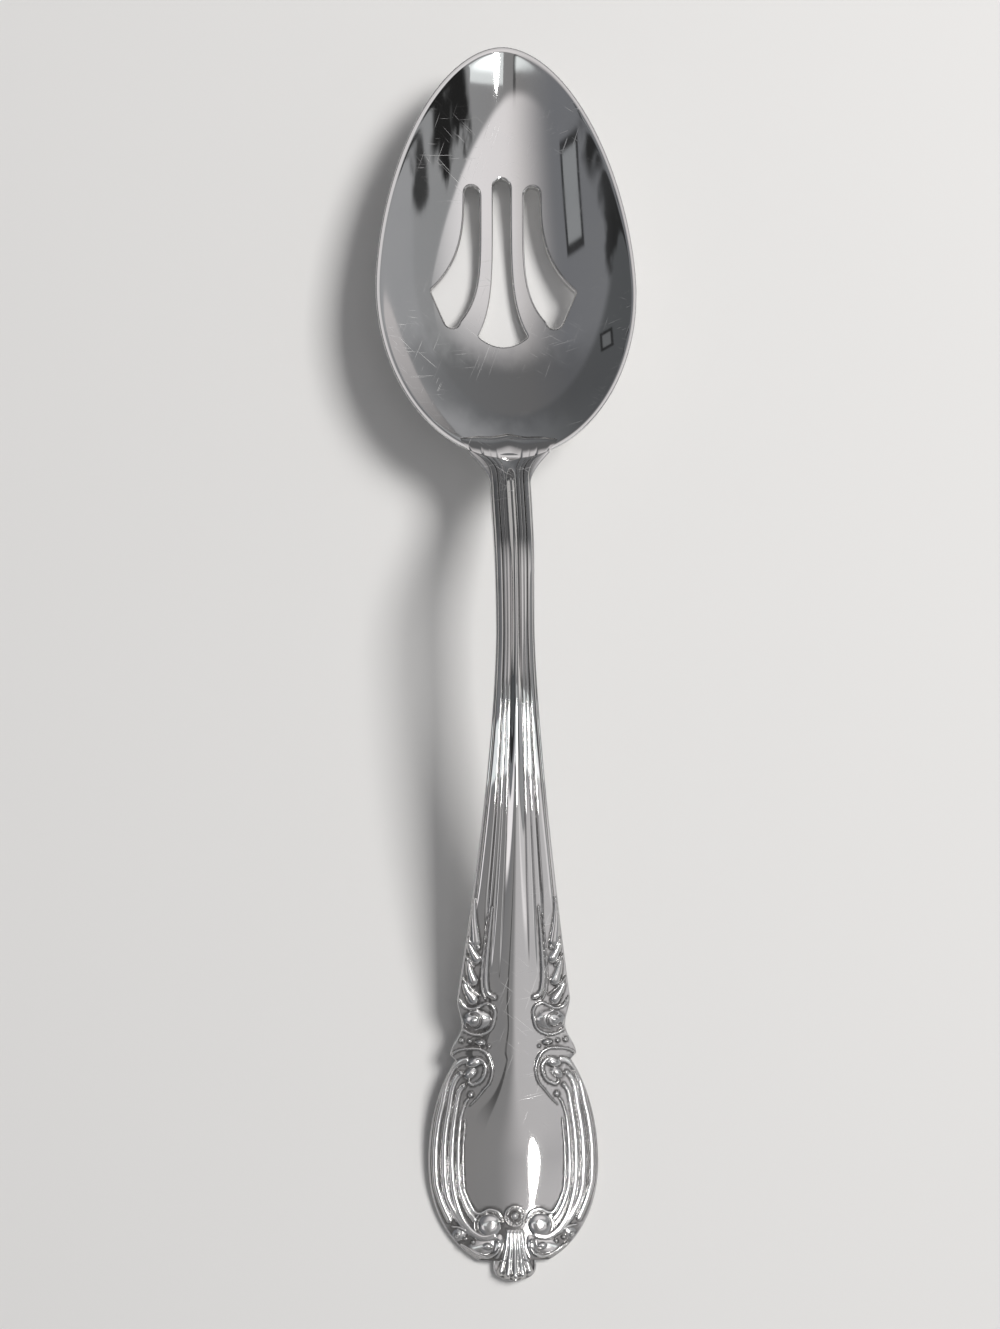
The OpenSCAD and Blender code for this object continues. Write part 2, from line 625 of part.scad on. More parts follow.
module shoulder_scroll(side) {
    color(steel) both_sides(side) {
        ridge(curve(spots(paddle_w, horn_y, paddle_y, shoulder_scroll_shares), 2), band_w, relief_h);
        ridge(curve(spots(paddle_w, horn_y, paddle_y, shoulder_curl_shares), 2), curl_w, relief_h, 0.8, 1);
        for (p = spots(paddle_w, horn_y, paddle_y, shoulder_bead_shares)) bead(p, small_bead_r, frame_h);
    }
}
module shoulder_scroll_left() { shoulder_scroll("left"); }
module shoulder_scroll_right() { shoulder_scroll("right"); }

// Frame: reeds along the paddle's edge, two of which turn round the end boss
boss = [boss_x, boss_y];
function boss_arc(opening, from_a, to_a) = [for (i = [0:arc_steps])
    let (a = mix(from_a, to_a, i / arc_steps))
    boss + cup_r * mix(opening, 1, held(2 * i / arc_steps)) * [cos(a), sin(a)]];
module frame(side) {
    start = mix(horn_y, paddle_y, frame_start_share);
    color(dark_steel) both_sides(side) {
        ridge(along(frame_shares[0], frame_shares[0], start, boss_y + boss_r, frame_steps),
            frame_w, frame_h);
        ridge(concat(along(frame_shares[1], frame_shares[1], start, boss_y + cup_r, frame_steps),
            boss_arc(cup_open_share, 0, -cup_turn)), frame_w, frame_h);
        ridge(along(frame_shares[2], frame_shares[2] * frame_close_share,
            start - frame_step, boss_y + boss_r / 2, frame_steps), frame_w, frame_h);
        ridge(concat(along(frame_shares[3], frame_shares[3] * frame_close_share,
            start - 2 * frame_step, boss_y + cup_r, frame_steps),
            boss_arc(1, hood_from_turn, hood_to_turn)), thin_w, frame_h);
    }
}
module frame_left() { frame("left"); }
module frame_right() { frame("right"); }

module end_boss(side) {
    color(pale_steel) both_sides(side) bead(boss, boss_r, boss_h);
}
module end_boss_left() { end_boss("left"); }
module end_boss_right() { end_boss("right"); }

module end_scroll(side) {
    color(steel) both_sides(side) {
        ridge(curve(spots(paddle_w, boss_y, end_y, crescent_shares), 3), band_w, relief_h, 0.7, 0.7);
        ridge(curve(spots(paddle_w, boss_y, end_y, end_band_shares), 2), band_w, relief_h);
        ridge(curve(spots(paddle_w, boss_y, end_y, end_bar_shares), 4), thin_w, frame_h);
        for (p = spots(paddle_w, boss_y, end_y, end_bead_shares)) bead(p, small_bead_r, frame_h);
    }
}
module end_scroll_left() { end_scroll("left"); }
module end_scroll_right() { end_scroll("right"); }

module ring_bead() {
    place = [0, end_y + ring_from_end];
    color(pale_steel) {
        bead(place, bead_r, relief_h);
        translate([place[0], place[1], face(0, place[1])]) rotate_extrude()
            polygon(concat([[ring_r - thin_w / 2, -2 * seat], [ring_r + thin_w / 2, -2 * seat]],
                [for (a = [0:45:180]) [ring_r + thin_w / 2 * cos(a), frame_h * sin(a)]]));
    }
}

// Shell: flutes from the root open into rounded lobes with a scalloped edge
function lobe(a) = abs(cos(180 * a / lobe_turn));
function shell_edge(a) = shell_r * mix(1, shell_side_share, pow(2 * a / (lobes * lobe_turn), 2))
    * mix(1 - scallop_share, 1, lobe(a));
function shell_place(a, t) = mix([flutes_w / 2 * a / (lobes * lobe_turn / 2), end_y + lobe_l],
    [0, end_y + shell_r] + shell_edge(a) * [sin(a), -cos(a)], t);
function shell_low(a, t) = let (p = shell_place(a, t)) [p[0], p[1], face_at(p[0], p[1]) - seat];
function shell_high(a, t) = let (p = shell_place(a, t)) [p[0], p[1], face(0, p[1])
    + shell_h * mix(shell_groove_share, 1, lobe(a)) * sin(mix(shell_rise_turn, shell_fall_turn, t))];

module shell_tip() {
    last = lobes * lobe_turn / 2;
    step = lobe_turn / lobe_steps;
    color(pale_steel) {
        loft([for (i = [0:shell_steps]) let (t = i / shell_steps) concat(
            [for (a = [last:-step:-last]) shell_low(a, t)],
            [for (a = [-last:step:last]) shell_high(a, t)])], true);
        for (i = [-2:2]) {
            x = i * flutes_w / lobes;
            ridge(curve([[x, end_y + shell_r], [x, end_y + lobe_l + seat]], 3), flutes_w / lobes, frame_h);
        }
    }
}

bowl();
neck();
heel_fan();
heel_tongue();
stem();
blade();
husk_left();
husk_right();
upper_scroll_left();
upper_scroll_right();
horn_left();
horn_right();
shoulder_scroll_left();
shoulder_scroll_right();
frame_left();
frame_right();
end_boss_left();
end_boss_right();
end_scroll_left();
end_scroll_right();
ring_bead();
shell_tip();
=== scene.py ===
import math
import bpy
import numpy as np
from mathutils import Matrix, Vector
from mathutils.geometry import delaunay_2d_cdt


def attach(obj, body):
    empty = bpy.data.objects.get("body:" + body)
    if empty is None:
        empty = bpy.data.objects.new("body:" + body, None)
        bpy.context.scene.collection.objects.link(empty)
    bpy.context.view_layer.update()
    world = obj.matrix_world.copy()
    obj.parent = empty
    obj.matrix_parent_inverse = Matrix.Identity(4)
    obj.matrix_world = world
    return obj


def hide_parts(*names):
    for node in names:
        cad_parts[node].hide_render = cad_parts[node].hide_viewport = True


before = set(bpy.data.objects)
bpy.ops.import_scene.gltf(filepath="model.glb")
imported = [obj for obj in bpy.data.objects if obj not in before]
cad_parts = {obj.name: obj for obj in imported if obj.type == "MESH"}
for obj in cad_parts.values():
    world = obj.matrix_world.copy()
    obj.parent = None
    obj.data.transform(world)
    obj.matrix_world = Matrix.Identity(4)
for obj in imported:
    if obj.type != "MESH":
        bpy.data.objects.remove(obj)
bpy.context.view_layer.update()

print("frame loaded")

# The whole spoon is worked out in millimetres and scaled to metres where a mesh is made.
# X runs across, Y towards the bowl's tip, Z up from the table.
mm = 0.001


def held(t):
    return np.clip(t, 0.0, 1.0)


def ease(t):
    c = held(t)
    return c * c * (3 - 2 * c)


def mix(a, b, t):
    return a + (b - a) * t


def climb(t, a, b):  # rise from 0 to 1, straight but for its first bend a and its last bend b
    t = held(t)
    rise = np.where(t < a, t * t / (2 * a), t - a / 2)
    rise = np.where(t > 1 - b, 1 - (a + b) / 2 - (1 - t) ** 2 / (2 * b), rise)
    return rise / (1 - (a + b) / 2)


def swell(t):
    return np.where(np.abs(t) < 1, np.cos(np.clip(t, -1, 1) * math.pi / 2) ** 2, 0.0)


def roundTop(t, power):
    return np.sqrt(np.clip(1 - np.abs(np.clip(t, -1, 1)) ** power, 0, 1))


spoon = {  # sizes shared by the pieces
    "length": 213.0,
    "bowlLength": 75.8, "bowlWidth": 45.4, "bowlWidest": 45.0,
    "bowlDepth": 10.6, "bowlWall": 1.7, "wallAtRim": 0.6,
    "rimBand": 0.7, "rimEdge": 1.3, "rimClimb": 1.6, "rimLip": 0.22,
    "tipPower": 1.75, "tipBlunt": 0.53, "dishPower": 2.1,
    "neckLength": 4.7, "shoulderWidth": 14.2, "tongueThick": 1.2,
}
tipY = spoon["length"] / 2
endY = -tipY
bowlY = tipY - spoon["bowlWidest"]
heelY = tipY - spoon["bowlLength"]
heelR = spoon["bowlLength"] - spoon["bowlWidest"]
neckY = heelY - spoon["neckLength"]
bowlHalf = spoon["bowlWidth"] / 2

handle = {
    "stemWidth": 6.4, "neckWidth": 7.0, "stemThick": 4.0, "stemFromEnd": 106.0, "stemFall": 0.9,
    "stemUnderRound": 1.8, "underPowers": (6, 2.2),  # on the blade, on the stem
    "archHeight": 18.5, "crestFromHeel": 22.0, "archBends": (0.4, 0.55), "neckBends": (0.4, 0.2),
    "ridgeHeights": (0.42, 0.7), "ridgeShares": (0.48, 0.26),  # on the blade, on the stem
    "restFlat": 0.2, "restFromEnd": 8.5,
    "paddleWidth": 28.4, "paddleFromEnd": 19.6, "paddleLow": 17.5, "paddleUp": 22.7, "lowPower": 2.15,
    "paddleThick": 2.2, "paddleFall": 0.9, "edgeRound": 0.5,
    "hornWidth": 21.1, "hornFromEnd": 37.2, "hornRun": 1.0, "waistWidth": 17.3, "waistFromHorn": 4.7,
    "huskWidth": 18.9, "huskFromWaist": 4.4, "leafRun": 15.4, "leafPower": 1.5,
    "shellWidth": 7.2, "shellOut": 3.3, "shellPower": 4, "paddleEndShare": 0.915,
    "sideRound": 0.3, "sideShare": 0.3, "sideMost": 0.45, "sideTurns": (15, 32, 50, 70, 90),
    "faceCount": 151, "underCount": 41,
}
crestY = heelY - handle["crestFromHeel"]
restY = endY + handle["restFromEnd"]
stemY = endY + handle["stemFromEnd"]
paddleY = endY + handle["paddleFromEnd"]
paddleEndY = paddleY - handle["paddleLow"] * handle["paddleEndShare"]
hornY = endY + handle["hornFromEnd"]
swellY = hornY - handle["hornRun"]
waistY = hornY + handle["waistFromHorn"]
huskY = waistY + handle["huskFromWaist"]
leafY = huskY + handle["leafRun"]


# Bowl: an egg in plan, dished by a power of the share of the way out to its rim

def eggOutline(a):  # a in radians, 0 on the right, a quarter turn at the tip
    c, s = np.cos(a), np.sin(a)
    up = s >= 0
    tipX = np.sign(c) * bowlHalf * np.abs(c) ** (2 * spoon["tipBlunt"])
    tipLen = spoon["bowlWidest"] * np.abs(s) ** (2 / spoon["tipPower"])
    return np.where(up, tipX, bowlHalf * c), np.where(up, tipLen, heelR * s) + bowlY


def bowlShare(x, y):  # share of the way out, and the reach of the outline along its own normal
    dx = np.abs(x) / bowlHalf
    up = y >= bowlY
    dy = np.where(up, (y - bowlY) / spoon["bowlWidest"], (bowlY - y) / heelR)
    p, q = 1 / spoon["tipBlunt"], spoon["tipPower"]
    low, high = np.maximum(np.maximum(dx, dy), 1e-6), dx + dy + 1e-5
    for i in range(36):
        mid = (low + high) / 2
        over = (dx / mid) ** p + (dy / mid) ** q > 1
        low, high = np.where(over, mid, low), np.where(over, high, mid)
    share = np.where(up, (low + high) / 2, np.hypot(dx, dy)) + 1e-9
    ex, ey = dx / share, dy / share
    gx = np.where(up, p * ex ** (p - 1), 2 * ex) / bowlHalf
    gy = np.where(up, q * ey ** (q - 1) / spoon["bowlWidest"], 2 * ey / heelR)
    px = ex * bowlHalf
    py = ey * np.where(up, spoon["bowlWidest"], heelR)
    reach = (gx * px + gy * py) / np.hypot(gx, gy)
    return share, reach


def dish(share):
    return 1 - np.clip(share, 0, 2) ** spoon["dishPower"]


def wallAt(share):
    return spoon["bowlWall"] * mix(1, spoon["wallAtRim"], share * share)


def outsideDrop(share):
    return (spoon["bowlDepth"] * dish(share) + wallAt(share)
            + (spoon["rimEdge"] - wallAt(1.0)) * share ** spoon["dishPower"])


def rimRise(y):
    return spoon["rimClimb"] * (bowlY - y) / spoon["bowlLength"]


lowDrop = max(outsideDrop(i / 10) - rimRise(bowlY + i / 10 * spoon["bowlWidest"]) for i in range(11))


def rimTop(y):
    return lowDrop + rimRise(y)


def insideZ(x, y):
    share, reach = bowlShare(x, y)
    past = (1 - share) * reach - spoon["rimBand"]  # how far inside the rim's band
    soft = (past + np.sqrt(past * past + spoon["rimLip"] ** 2)) / 2
    way = 1 - soft / (reach - spoon["rimBand"])
    return rimTop(y) - spoon["bowlDepth"] * dish(way)


def outsideZ(x, y):
    return rimTop(y) - outsideDrop(np.minimum(bowlShare(x, y)[0], 1))


def heelEdge(x):
    return bowlY - heelR * np.sqrt(1 - (x / bowlHalf) ** 2)


# Handle: outline, side view and face. Here u is the share of the half width, from -1 to 1.

def oval(reach, run, power):
    return handle["paddleWidth"] / 2 * (1 - held(reach / run) ** power) ** 0.5


def halfWidth(y):
    y = np.asarray(y, dtype=float)
    h = handle
    shellHalf = h["shellWidth"] / 2 * (1 - held((paddleEndY - y) / h["shellOut"]) ** h["shellPower"]) ** 0.5
    atSwell = oval(swellY - paddleY, h["paddleUp"], 2)
    leafShare = held((stemY - y) / (stemY - huskY)) ** h["leafPower"]
    return np.select(
        [y < paddleEndY, y < paddleY, y < swellY, y < hornY, y < waistY, y < huskY, y < stemY],
        [shellHalf,
         oval(paddleY - y, h["paddleLow"], h["lowPower"]),
         oval(y - paddleY, h["paddleUp"], 2),
         mix(atSwell, h["hornWidth"] / 2, held((y - swellY) / h["hornRun"])),
         mix(h["hornWidth"], h["waistWidth"], ease((y - hornY) / h["waistFromHorn"])) / 2,
         mix(h["waistWidth"], h["huskWidth"], ease((y - waistY) / h["huskFromWaist"])) / 2,
         mix(h["stemWidth"], h["huskWidth"], leafShare) / 2],
        mix(h["stemWidth"], h["neckWidth"], ease((y - stemY) / (neckY - stemY))) / 2)


heelUnder = rimTop(heelY) - spoon["rimEdge"] - spoon["tongueThick"]


def stemPart(y):
    return ease((y - waistY) / (crestY - waistY))


def underZ(y):
    h = handle
    low = h["archHeight"] * climb((y - restY) / (crestY - restY), *h["archBends"]) - h["restFlat"]
    high = mix(h["archHeight"] - h["restFlat"], heelUnder,
               climb((y - crestY) / h["crestFromHeel"], *h["neckBends"]))
    return np.where(y < crestY, low, high)


def underFace(u, y):
    h, side = handle, np.abs(u)
    rise = mix(h["edgeRound"] * side ** h["underPowers"][0],
               h["stemUnderRound"] * side ** h["underPowers"][1], stemPart(y))
    return np.maximum(underZ(y) + rise, 0.0)


def plainFace(u, y):  # the face that the relief stands on
    h, part = handle, stemPart(y)
    ridge = mix(*h["ridgeHeights"], part) * ease((y - paddleY) / (waistY - paddleY))
    thick = mix(h["paddleThick"], h["stemThick"], part)
    fall = mix(h["paddleFall"], h["stemFall"], part)
    return underZ(y) + thick - fall * u * u + ridge * swell(u / mix(*h["ridgeShares"], part))


reeds = {
    "places": (0.36, 0.525, 0.765), "halves": (0.082, 0.078, 0.14), "heights": (0.22, 0.22, 0.34),
    "ends": ((-60.0, -44.0), (-54.0, -42.0), (-49.0, -41.0)),  # where each is gone and where it is full
    "power": 4.5,
    "valleyPower": 3.0, "inner": (0.22, 0.05), "outer": (0.95, 0.04), "valleyY": (-57.0, 15.0),
    "paintedDim": 0.45, "paintedDimY": (-14.0, 12.0), "paintedDimEdge": (0.99, 0.05),  # painted darker reflection dimming the upper stem and neck
}
panel = {"height": 0.42, "half": 0.64, "soft": 0.06, "lowEnd": (-86.0, 10.6), "highEnd": (-64.0, 9.0),
         "skirt": 0.35, "skirtY": (-89.0, 4.0)}


def reedLift(u, y):
    r, lift = reeds, 0
    for place, half, high, (gone, full) in zip(r["places"], r["halves"], r["heights"], r["ends"]):
        top = roundTop((np.abs(u) - place) / half, r["power"])
        lift = lift + high * top * ease((y - gone) / (full - gone))
    return lift


def paintedShadeOf(u, y):  # painted shade in the valleys between the reeds, and the painted darker reflection of the upper stem
    r, side = reeds, np.abs(u)
    crest = np.max([roundTop((side - place) / half, r["valleyPower"])
                    for place, half in zip(r["places"], r["halves"])], axis=0)
    valley = (1 - crest) * ease((side - r["inner"][0]) / r["inner"][1]) \
        * ease((r["outer"][0] - side) / r["outer"][1])
    paintedDim = r["paintedDim"] * ease((y - r["paintedDimY"][0]) / r["paintedDimY"][1]) \
        * ease((r["paintedDimEdge"][0] - side) / r["paintedDimEdge"][1])
    return np.maximum(valley * ease((y - r["valleyY"][0]) / r["valleyY"][1]), paintedDim)


def panelLift(u, y):  # cushion inside the frame reeds, which falls off below it
    p = panel
    skirt = p["skirt"] * ease((p["skirtY"][0] - y) / p["skirtY"][1])
    low = np.maximum(0, p["lowEnd"][0] - y) / p["lowEnd"][1]
    inside = 1 - (u / p["half"]) ** 2 - low ** 2 + skirt
    crown = (inside + np.hypot(inside, p["soft"])) / 2 - skirt
    return p["height"] * crown * ease((p["highEnd"][0] - y) / p["highEnd"][1])


def faceAt(x, y):
    u = np.clip(x / np.maximum(halfWidth(y), 0.05), -1, 1)
    return plainFace(u, y) + panelLift(u, y)


# Meshes

def vertexNormals(points, faces):
    normals = np.zeros_like(points)
    for size in (3, 4):
        some = np.array([f for f in faces if len(f) == size], dtype=int).reshape(-1, size)
        a, b, c, d = (points[some[:, k]] for k in (0, 1, 2, size - 1))
        for k in range(size):
            np.add.at(normals, some[:, k], np.cross(c - a, d - b))
    return normals / np.maximum(np.linalg.norm(normals, axis=1, keepdims=True), 1e-12)


def outward(points, faces):  # faces of a closed solid wound outwards
    tris = np.array([(f[0], f[k], f[k + 1]) for f in faces for k in range(1, len(f) - 1)])
    a, b, c = (points[tris[:, k]] for k in range(3))
    return faces if np.sum(a * np.cross(b, c)) > 0 else [tuple(reversed(f)) for f in faces]


def makePiece(name, points, faces, normals, groove=None):
    mesh = bpy.data.meshes.new(name)
    mesh.from_pydata([tuple(p) for p in points * mm], [], [tuple(int(k) for k in f) for f in faces])
    mesh.update()
    for poly in mesh.polygons:
        poly.use_smooth = True
    # the groove attribute holds painted shade, which the steel mixes towards its dark colour
    shade = mesh.attributes.new("groove", "FLOAT", "POINT")
    groove = np.zeros(len(points)) if groove is None else groove
    shade.data.foreach_set("value", np.asarray(groove, dtype=np.float32))
    mesh.normals_split_custom_set_from_vertices([tuple(n) for n in normals])
    piece = bpy.data.objects.new(name, mesh)
    bpy.context.scene.collection.objects.link(piece)
    return piece


def tube(rings):  # through rings, closed by a fan at each end
    count, last = len(rings[0]), (len(rings) - 1) * len(rings[0])
    points, faces = np.concatenate(rings), []
    for i in range(count):
        j = (i + 1) % count
        faces += [(k + i, k + j, k + j + count, k + i + count) for k in range(0, last, count)]
        faces += [(i, last + count, j), (last + i, last + j, last + count + 1)]
    middles = [rings[0].mean(axis=0), rings[-1].mean(axis=0)]
    return np.vstack([points, middles]), faces


def ringPiece(ringAt, places, step=0.01):  # tube with normals from its own slopes
    rings = [ringAt(p) for p in places]
    points, faces = tube(rings)
    normals, out = [], 0.0
    for p, ring in zip(places, rings):
        across = np.roll(ring, -1, axis=0) - np.roll(ring, 1, axis=0)
        n = np.cross(across, ringAt(p + step) - ringAt(p - step))
        n = n / np.maximum(np.linalg.norm(n, axis=1, keepdims=True), 1e-12)
        out += np.sum((ring - ring.mean(axis=0)) * n)
        normals.append(n)
    normals = np.vstack(normals) * (1 if out > 0 else -1)
    return points, outward(points, faces), np.vstack([normals, [[0, -1, 0], [0, 1, 0]]])


def arc(centre, r, fromA, toA, steps=24):
    a = np.radians(np.linspace(fromA, toA, steps))
    return np.array(centre) + r * np.stack([np.cos(a), np.sin(a)], axis=1)


def resample(loop, spacing):  # a closed loop in even steps
    loop = np.vstack([loop, loop[:1]])
    at = np.concatenate([[0], np.cumsum(np.hypot(*np.diff(loop, axis=0).T))])
    places = np.linspace(0, at[-1], max(4, int(round(at[-1] / spacing))) + 1)
    return np.stack([np.interp(places, at, loop[:, 0]), np.interp(places, at, loop[:, 1])], axis=1)[:-1]


def loopNormals(loop):
    run = np.roll(loop, -1, axis=0) - np.roll(loop, 1, axis=0)
    n = np.stack([run[:, 1], -run[:, 0]], axis=1)
    n = n / np.linalg.norm(n, axis=1, keepdims=True)
    area = np.sum(loop[:, 0] * np.roll(loop[:, 1], -1) - loop[:, 1] * np.roll(loop[:, 0], -1))
    return n if area > 0 else -n


def insideLoop(points, loop):
    x, y = points[:, 0][:, None], points[:, 1][:, None]
    x1, y1 = loop[:, 0][None], loop[:, 1][None]
    x2, y2 = np.roll(loop[:, 0], -1)[None], np.roll(loop[:, 1], -1)[None]
    rise = np.where(y2 == y1, 1e-12, y2 - y1)
    crossed = ((y1 > y) != (y2 > y)) & (x < (x2 - x1) * (y - y1) / rise + x1)
    return crossed.sum(axis=1) % 2 == 1


# Bowl shell with its three slots

slots = {
    "fromTip": 21.7, "length": 28.9, "width": 3.1, "footWidth": 8.8, "footBow": 1.9, "web": 2.45,
    "sideWidth": 2.7, "sideLength": 24.8, "sideReach": 12.8, "sideFootR": 1.4, "sideStep": 0.6,
    "flare": 4.9, "sideFlare": 2.75, "footReach": 0.97, "pointShare": 0.79, "footTurn": 140.0,
    "soften": 0.3, "softenStep": 0.1, "step": 0.3, "edgeRound": 0.36,
}


def middleSlot():
    s = slots
    top, r = tipY - s["fromTip"], s["width"] / 2
    t = np.linspace(0, 1, 90)
    half = mix(s["width"], s["footWidth"], t ** s["flare"]) / 2
    right = np.stack([half, top - r - t * (s["length"] - r)], axis=1)
    k = np.linspace(1, -1, 60)[1:-1]
    foot = np.stack([k * s["footWidth"] / 2, top - s["length"] - s["footBow"] * (1 - k * k)], axis=1)
    return np.vstack([right, foot, right[::-1] * [-1, 1], arc((0, top - r), r, 180, 0, 40)[1:-1]])


def sideSlot():
    s = slots
    r, footR = s["sideWidth"] / 2, s["sideFootR"]
    high = tipY - s["fromTip"] - s["sideWidth"] * s["sideStep"] - r
    low = high - s["sideLength"] + r
    nearX = s["width"] / 2 + s["web"]
    t = np.linspace(0, s["footReach"], 90)
    inner = np.stack([nearX + s["footWidth"] / 2 * t ** s["flare"],
                      mix(high, low + footR * (1 - s["footReach"]), t / s["footReach"])], axis=1)
    foot = arc((inner[-1, 0] + footR, inner[-1, 1]), footR, 180, 180 + s["footTurn"], 40)[1:-1]
    t = np.linspace(1, 0, 80)
    outer = np.stack([mix(nearX + s["sideWidth"], s["sideReach"], t ** s["sideFlare"]),
                      mix(high, mix(high, low, s["pointShare"]), t)], axis=1)
    return np.vstack([inner, foot, outer, arc((inner[0, 0] + r, high), r, 0, 180, 40)[1:-1]])


def softened(loop):
    loop = resample(loop, slots["softenStep"])
    for i in range(int((slots["soften"] / slots["softenStep"]) ** 2 * 2)):
        loop = loop * 0.5 + (np.roll(loop, 1, axis=0) + np.roll(loop, -1, axis=0)) * 0.25
    return resample(loop, slots["step"])


def surfaceNormals(height, x, y, sign):
    e = 0.02
    gx = (height(x + e, y) - height(x - e, y)) / (2 * e)
    gy = (height(x, y + e) - height(x, y - e)) / (2 * e)
    n = np.stack([-gx, -gy, np.ones_like(gx)], axis=1) * sign
    return n / np.linalg.norm(n, axis=1, keepdims=True)


bowl = {
    "edgeRound": 0.3, "edgeTurns": (22.5, 45, 67.5, 90), "outlineStep": 0.5, "spacing": 0.72, "clear": 0.36,
    "rimRings": (0.2, 0.4, 0.6, 0.85, 1.15, 1.5), "gridFromRim": 1.85,
}


def bowlPlan(rimLoop, rimNormal, holes):  # flat mesh of the rim loop less the holes
    b = bowl
    across = np.arange(-bowlHalf, bowlHalf, b["spacing"])
    rows = np.arange(heelY, tipY, b["spacing"] * 0.866)
    grid = np.vstack([np.column_stack([across + k % 2 * b["spacing"] / 2, np.full(len(across), y)])
                      for k, y in enumerate(rows)])
    grid = grid[insideLoop(grid, rimLoop)]
    for loop in holes:
        grid = grid[~insideLoop(grid, loop)]
    loops = [rimLoop] + holes
    borders = np.vstack(loops)
    near = np.concatenate([np.hypot(*(part[:, None] - borders).transpose(2, 0, 1)).min(axis=1)
                           for part in np.array_split(grid, 12)])
    grid = grid[near > b["clear"]]
    grid = grid[insideLoop(grid, rimLoop - rimNormal * b["gridFromRim"])]
    edges, at = [], 0
    for loop in loops:
        edges += [(at + i, at + (i + 1) % len(loop)) for i in range(len(loop))]
        at += len(loop)
    plan = np.vstack(loops + [rimLoop - rimNormal * d for d in b["rimRings"]] + [grid])
    made = delaunay_2d_cdt([Vector(p) for p in plan], edges, [], 0, 1e-6)
    flat = np.array([tuple(v) for v in made[0]])
    middles = np.array([flat[list(f)].mean(axis=0) for f in made[2]])
    keep = insideLoop(middles, rimLoop)
    for loop in holes:
        keep &= ~insideLoop(middles, loop)
    places = {old: new for new, olds in enumerate(made[3]) for old in olds}
    return flat, [tuple(f) for f, k in zip(made[2], keep) if k], places


def buildBowl():
    b = bowl
    angles = np.linspace(0, 2 * math.pi, 4001)[:-1]
    outline = resample(np.stack(eggOutline(angles), axis=1), b["outlineStep"])
    outNormal = loopNormals(outline)
    rimLoop = outline - outNormal * b["edgeRound"]
    slotLoops = [softened(middleSlot()), softened(sideSlot())]
    slotLoops.append((slotLoops[1] * [-1, 1])[::-1])
    wideLoops = [loop + loopNormals(loop) * slots["edgeRound"] for loop in slotLoops]
    flat, tris, places = bowlPlan(rimLoop, outNormal, wideLoops)

    x, y = flat.T
    count = len(flat)
    points = [np.column_stack([flat, insideZ(x, y)]), np.column_stack([flat, outsideZ(x, y)])]
    faces = tris + [tuple(k + count for k in reversed(f)) for f in tris]
    at = 2 * count
    edged = [(rimLoop, outline, outNormal, -b["edgeRound"])]
    edged += [(wide, loop, loopNormals(loop), slots["edgeRound"])
              for wide, loop in zip(wideLoops, slotLoops)]
    start = 0
    for flatLoop, loop, normal, r in edged:  # a rounded edge from the inside to the outside
        size = len(flatLoop)
        top, low = [], []
        for t in np.radians(b["edgeTurns"]):
            p = loop + normal * (r * (1 - math.sin(t)))
            drop = abs(r) * (1 - math.cos(t))
            top.append(np.column_stack([p, insideZ(*p.T) - drop]))
            low.append(np.column_stack([p, outsideZ(*p.T) + drop]))
        ids = [[places[k] for k in range(start, start + size)]]
        for row in top + low[::-1]:
            points.append(row)
            ids.append(range(at, at + size))
            at += size
        ids.append([k + count for k in ids[0]])
        for p, q in zip(ids, ids[1:]):
            faces += [(p[i], q[i], q[(i + 1) % size], p[(i + 1) % size]) for i in range(size)]
        start += size
    points = np.vstack(points)
    faces = outward(points, faces)
    normals = vertexNormals(points, faces)
    normals[:2 * count] = np.vstack([surfaceNormals(insideZ, x, y, 1), surfaceNormals(outsideZ, x, y, -1)])
    return makePiece("bowlShell", points, faces, normals)


# Stem and blade, from rings of face, rounded sides and underside

def ringFrom(top, low, outX, r):  # top runs right to left, low left to right
    a, b = top[-1], low[0]
    rt = min(r, (a[2] - b[2]) * handle["sideMost"])
    turns = np.radians(handle["sideTurns"])
    left = []
    for near, far, up, t in [(a, b, -1, t) for t in turns] + [(b, a, 1, t) for t in turns[::-1]]:
        s = math.sin(t)
        x, y = mix(near[0], outX, s), mix(near[1], far[1], s * 0.5)
        left.append((x, y, near[2] + up * rt * (1 - math.cos(t))))
    return np.vstack([top, left, low, [(-x, y, z) for x, y, z in left[::-1]]])


def sideRadius(hw):
    return min(handle["sideRound"], hw * handle["sideShare"])


def faceShares(hw, count):  # shares of the half width from right to left, inside the rounded sides
    edge = 1 - sideRadius(hw) / hw
    return np.linspace(edge, -edge, count)


def handleRing(y):
    hw = float(halfWidth(y))
    u, v = faceShares(hw, handle["faceCount"]), -faceShares(hw, handle["underCount"])
    face = plainFace(u, y) + reedLift(u, y) + panelLift(u, y)
    top = np.column_stack([u * hw, np.full(len(u), y), face])
    low = np.column_stack([v * hw, np.full(len(v), y), underFace(v, y)])
    return ringFrom(top, low, -hw, sideRadius(hw))


# painted shade across one ring of the face, none on the rounded sides and underside
def ringPaintedShade(y):
    u = faceShares(float(halfWidth(y)), handle["faceCount"])
    return np.append(paintedShadeOf(u, y), np.zeros(handle["underCount"] + 4 * len(handle["sideTurns"])))


def buildStem():
    places = np.linspace(leafY, neckY, 190)
    # painted shade in the reed valleys and the painted darker reflection, ring by ring
    groove = np.concatenate([ringPaintedShade(place) for place in places] + [[0, 0]])
    return makePiece("reededStem", *ringPiece(handleRing, places), groove)


blade = {"shellTurns": (84, 2, 22), "shellGap": 0.12, "lowCount": 60, "counts": (50, 6, 16, 14, 44),
         "shadeReach": (0.6, 1.8), "shadeY": (-92.0, 3)}  # painted shade beside the relief's feet, wider at the end
